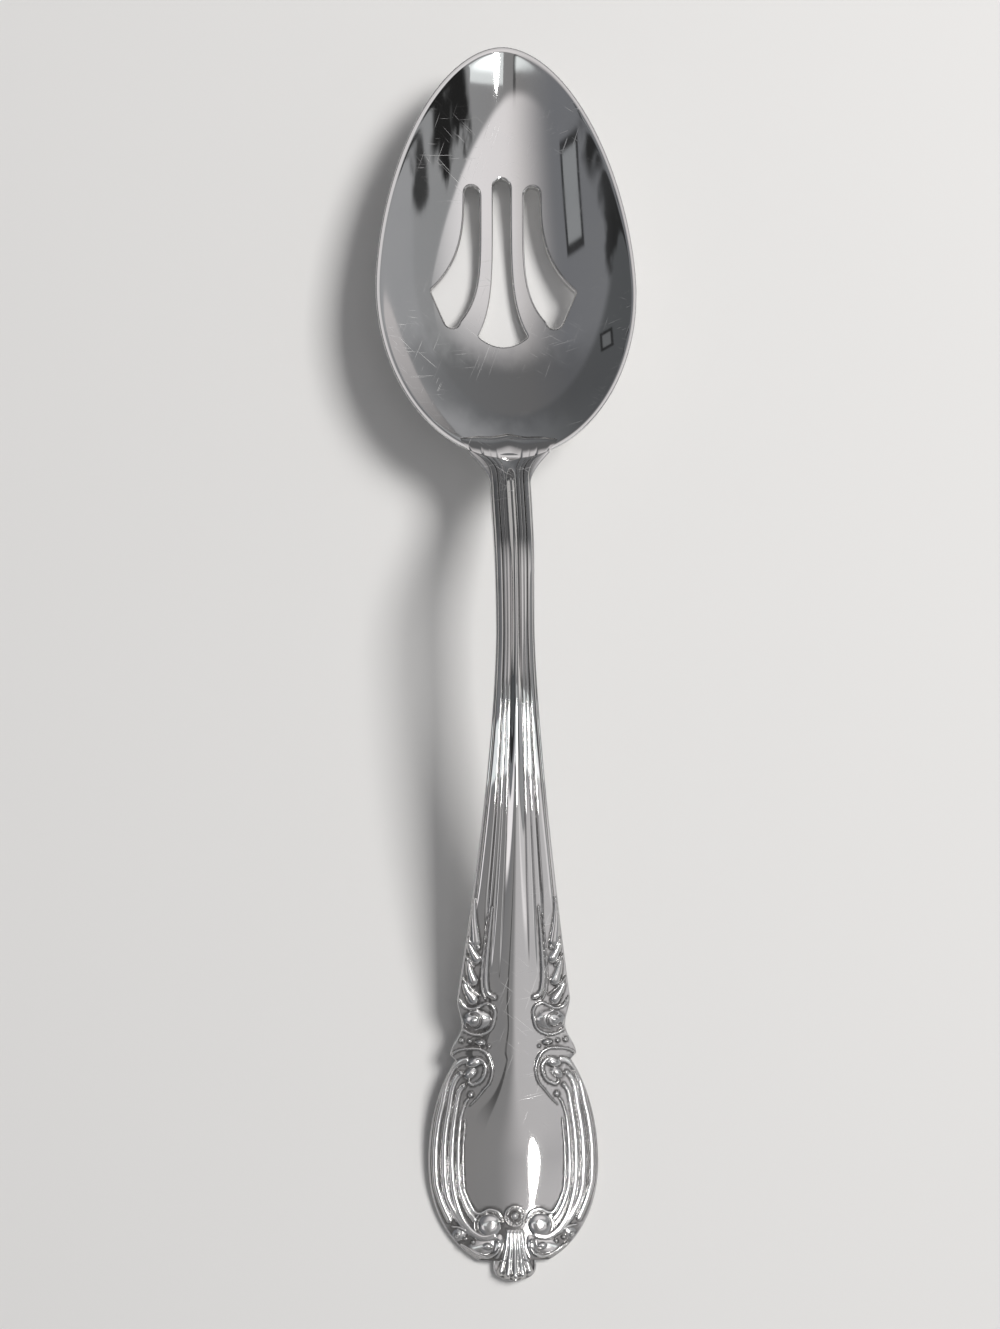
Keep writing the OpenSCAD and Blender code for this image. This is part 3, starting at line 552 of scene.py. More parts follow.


def buildBlade():
    b = blade
    turns = np.radians(np.linspace(*b["shellTurns"]))
    places = [paddleEndY - handle["shellOut"] * np.sin(turns), [paddleEndY - b["shellGap"]],
              paddleY - handle["paddleLow"] * handle["paddleEndShare"]
              * np.cos(np.linspace(0, math.pi / 2, b["lowCount"]))]
    marks = (paddleY, swellY, hornY, waistY, huskY, leafY)
    places += [np.linspace(low, high, count)[1:] for low, high, count in zip(marks, marks[1:], b["counts"])]
    places = np.concatenate(places)
    points, faces, normals = ringPiece(handleRing, places)
    x, y = points[:-2, 0], points[:-2, 1]
    top = np.tile(np.arange(len(x) // len(places)) < handle["faceCount"], len(places))
    reach = mix(*b["shadeReach"], ease((b["shadeY"][0] - y) / b["shadeY"][1]))
    # painted shade of the reeds, deepened beside the relief's feet
    groove = np.concatenate([ringPaintedShade(place) for place in places])
    groove = np.maximum(groove, ease(1 + reliefNear(np.abs(x), y) / reach) * top)
    return makePiece("handleBlade", points, faces, normals, np.append(groove, [0, 0]))


# Neck: the reeds part and lean out like a fountain to the two ears, then sink into the bowl

neck = {"faceFlare": 3.0, "webFlare": 1.6, "reedsLeft": 0.6, "rings": 36,
        "valley": 0.35, "valleyShare": 0.2, "valleyFull": 0.6}


def neckPoint(u, v, power):
    x = u * mix(handle["neckWidth"], spoon["shoulderWidth"], v ** power) / 2
    return x, mix(neckY, heelEdge(u * spoon["shoulderWidth"] / 2), v)


def middleValley(u):
    return neck["valley"] * np.exp(-(u / neck["valleyShare"]) ** 2)


def neckTop(u, v):
    x, y = neckPoint(u, v, neck["faceFlare"])
    z = mix(plainFace(u, neckY), rimTop(y), v) + reedLift(u, neckY) * mix(1, neck["reedsLeft"], v)
    return np.stack([x, y, z - middleValley(u) * ease(v / neck["valleyFull"])], axis=-1)


def neckLow(u, v):
    x, y = neckPoint(u, v, neck["webFlare"])
    under = rimTop(y) - spoon["rimEdge"] - spoon["tongueThick"] * (1 - u * u)
    return np.stack([x, y, mix(underFace(u, neckY), under, ease(v))], axis=-1)


def neckRing(v):
    v = float(np.clip(v, 0, 1))
    hw = handle["neckWidth"] / 2
    top = neckTop(faceShares(hw, handle["faceCount"]), v)
    low = neckLow(-faceShares(hw, handle["underCount"]), v)
    return ringFrom(top, low, -float(neckPoint(1.0, v, neck["webFlare"])[0]), sideRadius(hw))


def buildNeck():
    rings = neck["rings"]
    # the neck takes the painted shade and painted darker reflection of the stem's top ring
    groove = np.append(np.tile(ringPaintedShade(neckY), rings), [0, 0])
    return makePiece("neckFlare", *ringPiece(neckRing, np.linspace(0, 1, rings), 0.002), groove)


shelf = {
    "length": 5.2, "sideShare": 0.75, "spread": 1.17, "dropPower": 1.2, "risen": 0.05, "sunk": 0.12,
    "stepStart": 0.86, "stepDrop": 0.2, "lip": 0.1, "lipRun": 0.1, "wave": 0.12, "waves": 3,
    "reedShare": 0.97, "reedEnd": 0.5, "valleyEnd": 0.7,
    # edgeShade paints shade along the step into the bowl; the painted dim is a painted darker reflection on
    # the shelf
    "edgeShade": 0.8, "edgeAt": 0.99, "edgeRun": 0.06, "paintedDim": 0.6, "paintedDimRun": 0.3,
}


def shelfTop(u, v):
    s = shelf
    side = u * spoon["shoulderWidth"] / 2
    x = side * mix(1, s["spread"], v)
    y = mix(heelEdge(side), heelY + s["length"] * mix(1, s["sideShare"], np.abs(u)), v)
    past = v - s["stepStart"]
    drop = (1 - s["stepDrop"]) * v ** s["dropPower"] + s["stepDrop"] * ease(past / (1 - s["stepStart"]))
    wave = s["wave"] * np.cos(u * math.pi * s["waves"]) * v
    z = mix(rimTop(y), insideZ(x, y + wave), drop) + s["risen"] * (1 - v)
    z = z + s["lip"] * swell(past / s["lipRun"]) * (1 - u * u)
    z = z + reedLift(u * s["reedShare"], neckY) * neck["reedsLeft"] * (1 - ease(v / s["reedEnd"]))
    z = z - middleValley(u) * (1 - ease(v / s["valleyEnd"]))
    return np.stack([x, y + wave * ease(v * 2), z], axis=-1)


def buildShelf():
    s = shelf
    us = np.linspace(-1, 1, 121)
    nearStep = s["stepStart"] - s["lipRun"]
    vs = np.concatenate([np.linspace(0, nearStep, 24), np.linspace(nearStep, 1, 20)[1:]])
    rows = np.array([shelfTop(us, v) for v in vs])
    below = rows.copy()
    below[:, :, 2] = np.minimum(insideZ(rows[:, :, 0], rows[:, :, 1]), rows[:, :, 2]) - s["sunk"]
    up = np.cross(np.gradient(rows, axis=1), np.gradient(rows, axis=0)).reshape(-1, 3)
    up = up / np.maximum(np.linalg.norm(up, axis=1, keepdims=True), 1e-12)
    half = len(up)
    ids = np.arange(half).reshape(rows.shape[:2])
    cells = np.stack([ids[:-1, :-1], ids[:-1, 1:], ids[1:, 1:], ids[1:, :-1]], axis=-1).reshape(-1, 4)
    border = np.concatenate([ids[0], ids[1:, -1], ids[-1, -2::-1], ids[-2:0:-1, 0]])
    after = np.roll(border, -1)
    walls = np.stack([after, border, border + half, after + half], axis=1)
    points = np.vstack([rows.reshape(-1, 3), below.reshape(-1, 3)])
    faces = outward(points, np.vstack([cells, cells[:, ::-1] + half, walls]).tolist())
    u, v = np.tile(us, len(vs)), np.repeat(vs, len(us))
    # painted shade: the reed valleys fading out, a dark band at the step, and the painted darker reflection
    # past the shelf's first part
    shade = paintedShadeOf(u * s["reedShare"], neckY) * (1 - ease(v / s["reedEnd"]))
    shade = shade + swell((v - s["edgeAt"]) / s["edgeRun"]) * s["edgeShade"]
    shade = np.maximum(shade, s["paintedDim"] * ease(v / s["paintedDimRun"]))
    return makePiece("heelShelf", points, faces, np.vstack([up, -up]), np.append(shade, np.zeros(half)))


tongue = {"length": 13.0, "turn": 80, "endShare": 0.4, "sunk": 0.05}


def buildTongue():
    t = tongue
    turn = math.radians(t["turn"])
    u = np.linspace(1, -1, 41)
    side = u * spoon["shoulderWidth"] / 2
    rings = []
    for v in np.linspace(0, 1, 40):
        x = side * math.cos(turn * v)
        y = mix(heelEdge(side), heelY + t["length"], math.sin(turn * v) / math.sin(turn))
        high = outsideZ(x, y)
        low = high - spoon["tongueThick"] * (1 - u * u) * mix(1, t["endShare"], v)
        low, high = (np.column_stack([x, y, z]) for z in (low, high + t["sunk"]))
        rings.append(np.vstack([low, high[::-1]]))
    points, faces = tube(rings)
    faces = outward(points, faces)
    return makePiece("heelTongue", points, faces, vertexNormals(points, faces))


# Relief: plump heights that stand on the face and melt into one another, drawn for the right side

raised = {
    "step": 0.13, "soft": 0.05, "base": 0.3, "foot": 0.12, "edgeGap": 0.15, "edgeSlope": 2.5, "none": -9.0,
    "power": 2.2,
    "steep": (0.75, 0.7), "blurs": 3, "creaseDeep": 0.022,  # for the painted shade
}
reliefs = []


def curveThrough(places, steps=12):  # Catmull-Rom
    p = [np.array(q, dtype=float) for q in places]
    out = []
    for i in range(len(p) - 1):
        a, b, c, d = p[max(0, i - 1)], p[i], p[i + 1], p[min(len(p) - 1, i + 2)]
        for t in np.linspace(0, 1, steps, endpoint=False):
            out.append(b + t * (c - a) / 2 + t * t * (2 * a - 5 * b + 4 * c - d) / 2
                       + t ** 3 * (3 * b - a - 3 * c + d) / 2)
    return np.array(out + [p[-1]])


def reachOf(x, y, path):  # distance to a path, and the share of its length at the nearest spot
    runs = np.hypot(*np.diff(path, axis=0).T)
    at = np.concatenate([[0], np.cumsum(runs)]) / runs.sum()
    best, share = np.full(x.shape, 1e9), np.zeros(x.shape)
    for i in range(len(path) - 1):
        d = path[i + 1] - path[i]
        t = held(((x - path[i, 0]) * d[0] + (y - path[i, 1]) * d[1]) / max(d @ d, 1e-12))
        far = np.hypot(x - path[i, 0] - t * d[0], y - path[i, 1] - t * d[1])
        near = far < best
        best, share = np.where(near, far, best), np.where(near, mix(at[i], at[i + 1], t), share)
    return best, share


outlineYs = np.concatenate([paddleEndY - handle["shellOut"] * np.sin(np.linspace(math.pi / 2, 0, 60)),
                            np.linspace(paddleEndY + 0.02, leafY + 4, 700)])
outlinePath = np.stack([halfWidth(outlineYs), outlineYs], axis=1)


class Relief:  # one field of heights, drawn from the dictionary of its piece
    def __init__(self, values):
        self.values = values
        across, up = (np.arange(low, high, raised["step"]) for low, high in values["field"])
        self.x, self.y = np.meshgrid(across, up)
        self.lift = np.full(self.x.shape, raised["none"])
        reliefs.append(self)

    def window(self, path, margin):
        low, high = path.min(axis=0) - margin, path.max(axis=0) + margin
        cols = np.flatnonzero((self.x[0] > low[0]) & (self.x[0] < high[0]))
        rows = np.flatnonzero((self.y[:, 0] > low[1]) & (self.y[:, 0] < high[1]))
        return np.s_[rows[0]:rows[-1] + 1, cols[0]:cols[-1] + 1]

    def blend(self, part, lift):  # soft maximum
        soft, old = raised["soft"], self.lift[part]
        near = np.maximum(soft - np.abs(old - lift), 0) / soft
        self.lift[part] = np.maximum(old, lift) + near * near * soft / 4

    def ridge(self, path, width, high, first=1.0, last=1.0, power=raised["power"]):
        part = self.window(path, width * 1.5)
        far, t = reachOf(self.x[part], self.y[part], path)
        size = mix(first, last, t)
        q = far / (width / 2 * size)
        lift = np.where(q < 1, high * size ** 0.5 * (1 - q ** power), -power * high * (q - 1))
        self.blend(part, lift)

    def dome(self, place, rx, ry, high, turn=0.0, power=raised["power"]):
        part = self.window(np.array([place, place]), max(rx, ry) * 1.8)
        x, y = self.x[part] - place[0], self.y[part] - place[1]
        c, s = math.cos(math.radians(turn)), math.sin(math.radians(turn))
        q = np.hypot((x * c + y * s) / rx, (y * c - x * s) / ry)
        self.blend(part, np.where(q < 1, high * (1 - q ** power), -power * high * (q - 1)))

    def ridges(self, *names):  # each name has its places, and beside them its size
        for name in names:
            self.ridge(curveThrough(self.values[name]), *self.values[name + "Size"])

    def domes(self, *names):
        for name in names:
            self.dome(self.values[name], *self.values[name + "Size"])

    def carve(self, path, width, depth):
        part = self.window(path, width)
        far = reachOf(self.x[part], self.y[part], path)[0]
        self.lift[part] -= depth * np.clip(1 - (far / (width / 2)) ** 2, 0, 1) ** 1.5

    def shade(self, slope):  # painted shade in the creases, and a painted darker reflection on steep sides
        shown = np.maximum(self.lift, 0)
        blurred = shown
        for i in range(raised["blurs"]):
            wide = np.pad(blurred, 1, mode="edge")
            blurred = (wide[:-2, 1:-1] + wide[2:, 1:-1] + wide[1:-1, :-2] + wide[1:-1, 2:]) / 4
        steep = ease((slope - raised["steep"][0]) / raised["steep"][1])
        return np.maximum(held((blurred - shown) / raised["creaseDeep"]), steep)

    def mesh(self):
        edge = reachOf(self.x, self.y, outlinePath[::3])[0]
        edge = np.where(np.abs(self.x) < halfWidth(self.y), edge, -edge)
        self.lift = np.minimum(self.lift, (edge - raised["edgeGap"]) * raised["edgeSlope"])
        keep = self.lift > -raised["foot"]
        face = faceAt(self.x, self.y)
        z = face + self.lift
        zy, zx = np.gradient(z, raised["step"])
        up = np.stack([-zx, -zy, np.ones_like(z)], axis=2)
        up = up / np.linalg.norm(up, axis=2, keepdims=True)
        cells = keep[:-1, :-1] & keep[1:, :-1] & keep[:-1, 1:] & keep[1:, 1:]
        used = np.zeros(keep.shape, dtype=bool)
        for dy, dx in ((0, 0), (0, 1), (1, 0), (1, 1)):
            used[dy:dy + cells.shape[0], dx:dx + cells.shape[1]] |= cells
        ids = np.full(keep.shape, -1)
        count = int(used.sum())
        ids[used] = np.arange(count)
        corners = (ids[:-1, :-1], ids[:-1, 1:], ids[1:, 1:], ids[1:, :-1])
        tops = np.stack([corner[cells] for corner in corners], axis=1)
        edges = {}
        for f in tops.tolist():
            for p, q in zip(f, f[1:] + f[:1]):
                if (q, p) in edges:
                    del edges[(q, p)]
                else:
                    edges[(p, q)] = True
        walls = [[q, p, p + count, q + count] for p, q in edges]
        faces = tops.tolist() + (tops[:, ::-1] + count).tolist() + walls
        top = np.stack([self.x[used], self.y[used], z[used]], axis=1)
        low = np.stack([self.x[used], self.y[used], face[used] - raised["base"]], axis=1)
        # painted shade on the top; the hidden underside is fully dark
        groove = np.append(self.shade(np.hypot(zx, zy))[used], np.ones(count))
        return np.vstack([top, low]), faces, np.vstack([up[used], -up[used]]), groove

    def pieces(self, name, sides=(("Right", 1), ("Left", -1))):
        points, faces, normals, groove = self.mesh()
        made = []
        for side, way in sides:
            flip, wound = np.array([way, 1, 1]), [f[::way] for f in faces]
            made.append(makePiece(name + side, points * flip, wound, normals * flip, groove))
        return made


def reliefNear(x, y):  # height of the relief under a spot of the right side, below zero beside it
    best = np.full(x.shape, raised["none"])
    for relief in reliefs:
        i = np.round((y - relief.y[0, 0]) / raised["step"]).astype(int)
        j = np.round((x - relief.x[0, 0]) / raised["step"]).astype(int)
        good = (i >= 0) & (j >= 0) & (i < relief.y.shape[0]) & (j < relief.x.shape[1])
        best[good] = np.maximum(best[good], relief.lift[i[good], j[good]])
    return best


# In these dictionaries a ridge's size is its width, its height and its share of the width at each end.
# A dome's size is its two radii, its height, its turn in degrees and its power.

husk = {
    "field": ((1.8, 10.2), (-63.0, -43.5)),
    "hook": ((0.525, -45.5), (0.54, -50.0), (0.545, -54.0), (0.535, -57.0), (0.50, -58.8), (0.44, -59.7),
             (0.36, -60.1)),
    "hookSize": (1.05, 0.5, 0.5, 1.1),
    "line": ((0.61, -46.5), (0.62, -51.6), (0.62, -55.4), (0.585, -58.7), (0.505, -60.3)),
    "lineSize": (0.5, 0.34, 0.6, 1.0),
    "leaves": (((6.85, -44.2), (6.9, -47.6), (6.6, -51.1)), ((7.6, -51.4), (7.1, -52.6), (6.45, -53.8)),
               ((7.75, -54.3), (7.4, -55.9), (6.9, -57.4)), ((8.3, -58.0), (7.7, -59.3), (6.9, -60.5))),
    "leafSize": (2.0, 0.6, 0.45, 1.0),
    "tips": (((7.95, -50.2), (7.4, -51.1), (6.6, -52.2)), ((8.3, -53.0), (7.6, -54.0), (6.7, -55.1)),
             ((8.9, -56.5), (7.5, -58.3), (5.7, -59.8)), ((9.35, -60.0), (8.6, -61.0), (7.8, -61.8))),
    "tipSize": (0.6, 0.62, 0.8, 0.7),
    "bud": (6.05, -52.0), "budSize": (0.5, 0.5, 0.45),
}


def buildHusk():
    h = husk
    relief = Relief(h)
    for name in ("hook", "line"):  # their places are shares of the half width
        path = curveThrough([(share * float(halfWidth(y)), y) for share, y in h[name]])
        relief.ridge(path, *h[name + "Size"])
    for paths, size in ((h["leaves"], h["leafSize"]), (h["tips"], h["tipSize"])):
        for path in paths:
            relief.ridge(curveThrough(path), *size)
    relief.domes("bud")
    return relief.pieces("husk")


upperScroll = {
    "field": ((2.2, 10.2), (-67.4, -59.4)),
    "band": ((9.15, -60.2), (8.3, -61.5), (7.1, -61.95), (5.9, -61.6), (4.7, -61.05), (3.7, -61.45),
             (3.2, -62.4), (3.3, -63.8), (3.75, -65.1), (4.7, -65.9), (6.0, -66.2), (7.3, -65.95),
             (8.35, -65.35)),
    "bandSize": (0.88, 0.62, 0.75, 0.85),
    "bulb": (6.15, -63.8), "bulbSize": (2.45, 1.65, 0.6, 0.0, 3.0),
    "eye": (6.75, -63.9), "eyeSize": (0.95, 0.72, 0.75),
    "ringR": 1.2, "ringTurns": (70, 330), "ringCut": (0.6, 0.42),
}


def buildUpperScroll():
    s = upperScroll
    relief = Relief(s)
    relief.domes("bulb")
    relief.carve(arc(s["eye"], s["ringR"], *s["ringTurns"]), *s["ringCut"])
    relief.domes("eye")
    relief.ridges("band")
    return relief.pieces("upperScroll")


horn = {
    "field": ((2.8, 11.0), (-71.2, -66.0)),
    "lip": ((10.3, -69.35), (9.4, -68.75), (8.4, -68.5), (6.6, -68.4), (5.2, -68.75), (4.4, -69.5),
            (3.95, -70.4)),
    "lipSize": (0.9, 0.62, 0.7, 0.85),
    "bead": (5.6, -67.45), "beadSize": (1.0, 0.62, 0.62, 6),
    "dots": (((8.65, -67.05), 0.52), ((7.35, -67.2), 0.48), ((4.2, -68.1), 0.4)), "dotHeight": 0.5,
}


def buildHorn():
    relief = Relief(horn)
    relief.ridges("lip")
    relief.domes("bead")
    for place, r in horn["dots"]:
        relief.dome(place, r, r, horn["dotHeight"])
    return relief.pieces("horn")


shoulderScroll = {
    "field": ((2.6, 10.5), (-78.6, -69.0)),
    "band": ((4.4, -69.5), (3.8, -70.8), (3.65, -72.3), (4.1, -74.0), (5.2, -75.35), (6.1, -76.5),
             (7.2, -77.6)),
    "bandSize": (0.8, 0.6, 0.9, 0.5),
    "curl": ((7.2, -70.6), (6.2, -70.15), (5.2, -70.55), (4.75, -71.4), (4.95, -72.8), (5.7, -73.85),
             (6.9, -74.3), (7.5, -73.9)),
    "curlSize": (1.05, 0.65, 1.0, 0.8),
    "head": (6.65, -70.75), "headSize": (1.5, 0.98, 0.8, -12),
    "heart": (7.25, -72.5), "heartSize": (1.2, 0.85, 0.5, -35),
    "bud": (7.2, -75.95), "budSize": (0.62, 0.62, 0.55),
}


def buildShoulderScroll():
    relief = Relief(shoulderScroll)
    relief.ridges("band", "curl")
    relief.domes("head", "heart", "bud")
    return relief.pieces("shoulderScroll")


frameReeds = {
    "field": ((1.8, 14.4), (-100.4, -69.4)), "power": 3.4, "gap": 2.2, "middleCount": 9, "steps": 7,
    "reeds": (  # head, share of the half width beside the panel, foot, and size, from the outside in
        (((7.9, -70.35), (9.0, -70.6), (10.15, -71.6), (11.0, -73.2), (11.5, -75.0)), 0.928,
         ((12.2, -93.2), (11.5, -94.9), (10.8, -96.3)), (1.6, 0.46, 0.75, 0.75)),
        (((8.85, -72.45), (9.7, -73.4), (10.25, -74.8), (10.5, -76.0)), 0.825,
         ((10.85, -93.4), (9.5, -95.9), (8.4, -97.3), (7.4, -98.3)), (1.42, 0.44, 0.75, 0.95)),
        (((8.4, -74.55), (9.05, -75.4), (9.35, -76.4)), 0.735,
         ((9.65, -93.6), (8.7, -96.2), (7.4, -98.05), (6.0, -99.05), (4.8, -99.25), (3.5, -98.9)),
         (1.22, 0.42, 0.75, 1.15)),
        (((7.6, -76.7), (8.1, -77.4)), 0.655,
         ((8.3, -93.6), (7.5, -95.2), (6.65, -96.3)), (0.72, 0.38, 0.75, 1.5)),
        (((8.1, -80.0), (8.25, -82.0)), 0.6,
         ((7.3, -94.0), (6.5, -95.2), (5.5, -95.3), (4.3, -94.75), (2.9, -95.1), (2.25, -95.9)),
         (0.5, 0.32, 0.75, 1.7))),
    "dots": (((8.85, -72.45), 0.6, 0.62), ((8.35, -74.5), 0.52, 0.55), ((6.6, -96.35), 0.45, 0.45)),
}


def buildFrame():
    f = frameReeds
    relief = Relief(f)
    for head, share, foot, size in f["reeds"]:
        y = np.linspace(head[-1][1] - f["gap"], foot[0][1] + f["gap"], f["middleCount"])
        middle = np.column_stack([share * halfWidth(y), y])
        relief.ridge(curveThrough(np.vstack([head, middle, foot]), f["steps"]), *size, f["power"])
    for place, r, high in f["dots"]:
        relief.dome(place, r, r, high)
    return relief.pieces("frameReeds")


endBoss = {
    "field": ((1.6, 7.2), (-100.0, -94.2)),
    "boss": (4.25, -97.25), "bossSize": (2.05, 2.05, 0.78, 0.0, 2.8),
    "hoodR": 2.45, "hoodTurns": (-20, 170), "hoodSize": (0.45, 0.4),
}


def buildBoss():
    b = endBoss
    relief = Relief(b)
    relief.domes("boss")
    relief.ridge(arc(b["boss"], b["hoodR"], *b["hoodTurns"]), *b["hoodSize"])
    return relief.pieces("endBoss")


endScroll = {
    "field": ((1.8, 12.2), (-104.6, -96.4)),
    "pads": (((6.0, -101.2), (3.4, 1.5, 0.34, -28)), ((9.2, -98.6), (1.6, 1.0, 0.3, -40)),
             ((2.8, -100.7), (0.9, 2.0, 0.4, 10))),
    "crescent": ((2.6, -101.0), (3.4, -102.0), (4.8, -102.35), (6.5, -101.75), (7.6, -101.0),
                 (8.8, -100.3)),
    "crescentSize": (1.1, 0.7, 0.7, 0.6),
    "horn": ((8.2, -98.0), (9.3, -97.5), (10.3, -97.35)), "hornSize": (0.8, 0.5, 0.8, 0.7),
    "beads": (((4.6, -100.6), (1.05, 0.72)), ((9.5, -98.85), (0.55, 0.55)), ((2.75, -99.9), (0.5, 0.5)),
              ((8.1, -99.35), (0.5, 0.45)), ((6.9, -99.9), (0.5, 0.45)), ((3.85, -103.2), (0.45, 0.4))),
    "beadHeight": 0.55,
}


def buildEndScroll():
    relief = Relief(endScroll)
    for place, size in endScroll["pads"]:
        relief.dome(place, *size)
    relief.ridges("crescent", "horn")
    for place, radii in endScroll["beads"]:
        relief.dome(place, *radii, endScroll["beadHeight"])
    return relief.pieces("endScroll")


ringBead = {
    "field": ((-3.2, 3.2), (-98.6, -93.6)),
    "bead": (0.0, -95.8), "beadSize": (0.85, 0.85, 0.75),
    "rings": ((1.62, 0.46), (1.2, 0.36)), "ringHeight": 0.45,  # radius and width of each
}


def buildRingBead():
    relief = Relief(ringBead)
    relief.domes("bead")
    for r, width in ringBead["rings"]:
        relief.ridge(arc(ringBead["bead"], r, 0, 360, 60), width, ringBead["ringHeight"])
    return relief.pieces("ringBead", (("", 1),))


shell = {
    "field": ((-3.9, 3.9), (-106.4, -97.2)), "root": -97.9, "end": -106.2,
    "widths": ((-106.2, 3.45), (-104.8, 3.2), (-102.9, 2.5), (-101.0, 1.9), (-99.5, 1.7), (-97.9, 1.45)),
    "lobes": 5, "lobePower": 0.65, "height": 0.85, "rootHeight": 0.3, "rootShare": 0.75, "groove": 0.32,
    "endFall": 1.1, "scallop": 0.5, "endSlope": 1.3, "rootSlope": 1.5, "sideSlope": 2.2, "edgeRun": 1.1,
}


def buildShell():
    s = shell
    relief = Relief(s)
    half = np.interp(relief.y, *zip(*s["widths"]))
    q = relief.x / half
    lobe = np.abs(np.cos(np.clip(q, -1, 1) * s["lobes"] * math.pi / 2)) ** s["lobePower"]
    run = held((relief.y - s["end"]) / (s["root"] - s["end"]))
    high = mix(s["height"], s["rootHeight"], ease(run / s["rootShare"])) * mix(s["groove"], 1, lobe)
    toEnd = (relief.y - s["end"] - s["endFall"] * q * q - s["scallop"] * (1 - lobe)) * s["endSlope"]
    toRoot = (s["root"] - relief.y) * s["rootSlope"]
    toSide = (1 - np.abs(q)) * half * s["sideSlope"]
    lift = np.minimum(np.minimum(toEnd, toRoot), toSide)
    relief.lift = np.where(lift > 0, high * (1 - (1 - held(lift / s["edgeRun"])) ** 2), lift)
    return relief.pieces("shellTip", (("", 1),))


# Materials

class Sum:  # wraps a shader socket, so that Python sums build Math nodes
    def __init__(self, shader, socket):
        self.shader, self.socket = shader, socket

    def math(self, operation, *values):
        return self.shader.node("ShaderNodeMath", {"operation": operation}, list(values))

    def __add__(self, other):
        return self.math("ADD", self, other)

    def __radd__(self, other):
        return self.math("ADD", other, self)

    def __sub__(self, other):
        return self.math("SUBTRACT", self, other)

    def __rsub__(self, other):
        return self.math("SUBTRACT", other, self)

    def __mul__(self, other):
        return self.math("MULTIPLY", self, other)

    def __rmul__(self, other):
        return self.math("MULTIPLY", other, self)

    def __truediv__(self, other):
        return self.math("DIVIDE", self, other)

    def __pow__(self, other):
        return self.math("POWER", self, other)

    def __abs__(self):
        return self.math("ABSOLUTE", self)

    def atLeast(self, other):
        return self.math("MAXIMUM", self, other)


class Shader:
    def __init__(self, tree):
        self.tree = tree
        tree.nodes.clear()

    def node(self, kind, settings=None, inputs=None, out=0):
        made = self.tree.nodes.new(kind)
        for key, value in (settings or {}).items():
            if key == "stops":
                ramp = made.color_ramp
                while len(ramp.elements) < len(value):
                    ramp.elements.new(0.5)
                for element, (place, colour) in zip(ramp.elements, value):
                    element.position = place
                    element.color = colour
            else:
                setattr(made, key, value)
        pairs = enumerate(inputs) if isinstance(inputs, list) else (inputs or {}).items()
        for key, value in pairs:
            if isinstance(value, Sum):
                self.tree.links.new(value.socket, made.inputs[key])
            else:
                made.inputs[key].default_value = value
        return Sum(self, made.outputs[out]) if len(made.outputs) else None

    def parts(self, vector):
        made = self.node("ShaderNodeSeparateXYZ", None, [vector]).socket.node
        return [Sum(self, socket) for socket in made.outputs]

    def between(self, value, low, high, fromValue=0.0, toValue=1.0):
        return self.node("ShaderNodeMapRange", {"interpolation_type": "SMOOTHSTEP"},
                         {0: value, 1: low, 2: high, 3: fromValue, 4: toValue})

    def colours(self, share, first, second):
        return self.node("ShaderNodeMix", {"data_type": "RGBA"}, {0: share, 6: first, 7: second}, out=2)

    def scaled(self, vector, by):
        return self.node("ShaderNodeVectorMath", {"operation": "MULTIPLY"}, [vector, by])

    def noise(self, vector, scale, detail=2.0, rough=0.5):
        return self.node("ShaderNodeTexNoise", None,
                         {"Vector": vector, "Scale": scale, "Detail": detail, "Roughness": rough})

    def zone(self, x, y, cx, cy, rx, ry, soft, square=False):  # soft oval or rectangle, 1 inside
        dx, dy = (x - cx) / rx, (y - cy) / ry
        reach = abs(dx).atLeast(abs(dy)) if square else dx.math("SQRT", dx * dx + dy * dy)
        return self.between(reach, 1.0 - soft, 1.0 + soft, 1.0, 0.0)


steel = {
    # dark is the colour of the painted shade
    "colour": (0.735, 0.73, 0.725, 1.0), "smudge": (0.70, 0.70, 0.70, 1.0), "dark": (0.17, 0.165, 0.16, 1.0),
    "smudgeNoise": (90.0, 4.0, 0.6), "smudgeSpan": (0.42, 0.7), "smudgeShare": 0.5, "fineScale": 1400.0,
    "scratchScale": 5400.0, "scratchDepth": 300.0, "scratchSpan": (0.69, 0.76),
    "scratchRuns": ((0.35, 55.0), (-0.9, 40.0), (1.35, 48.0)),  # turn and stretch of each set
    "patchScale": 55.0, "patchSpan": (0.5, 0.68), "scuffSoft": 0.6, "waveScale": 60.0, "darkPower": 1.4,
    "fineRough": 0.01, "scratchRough": 0.2, "darkRough": 0.1, "scratchMatt": 0.75, "scratchDent": -0.0000015,
}


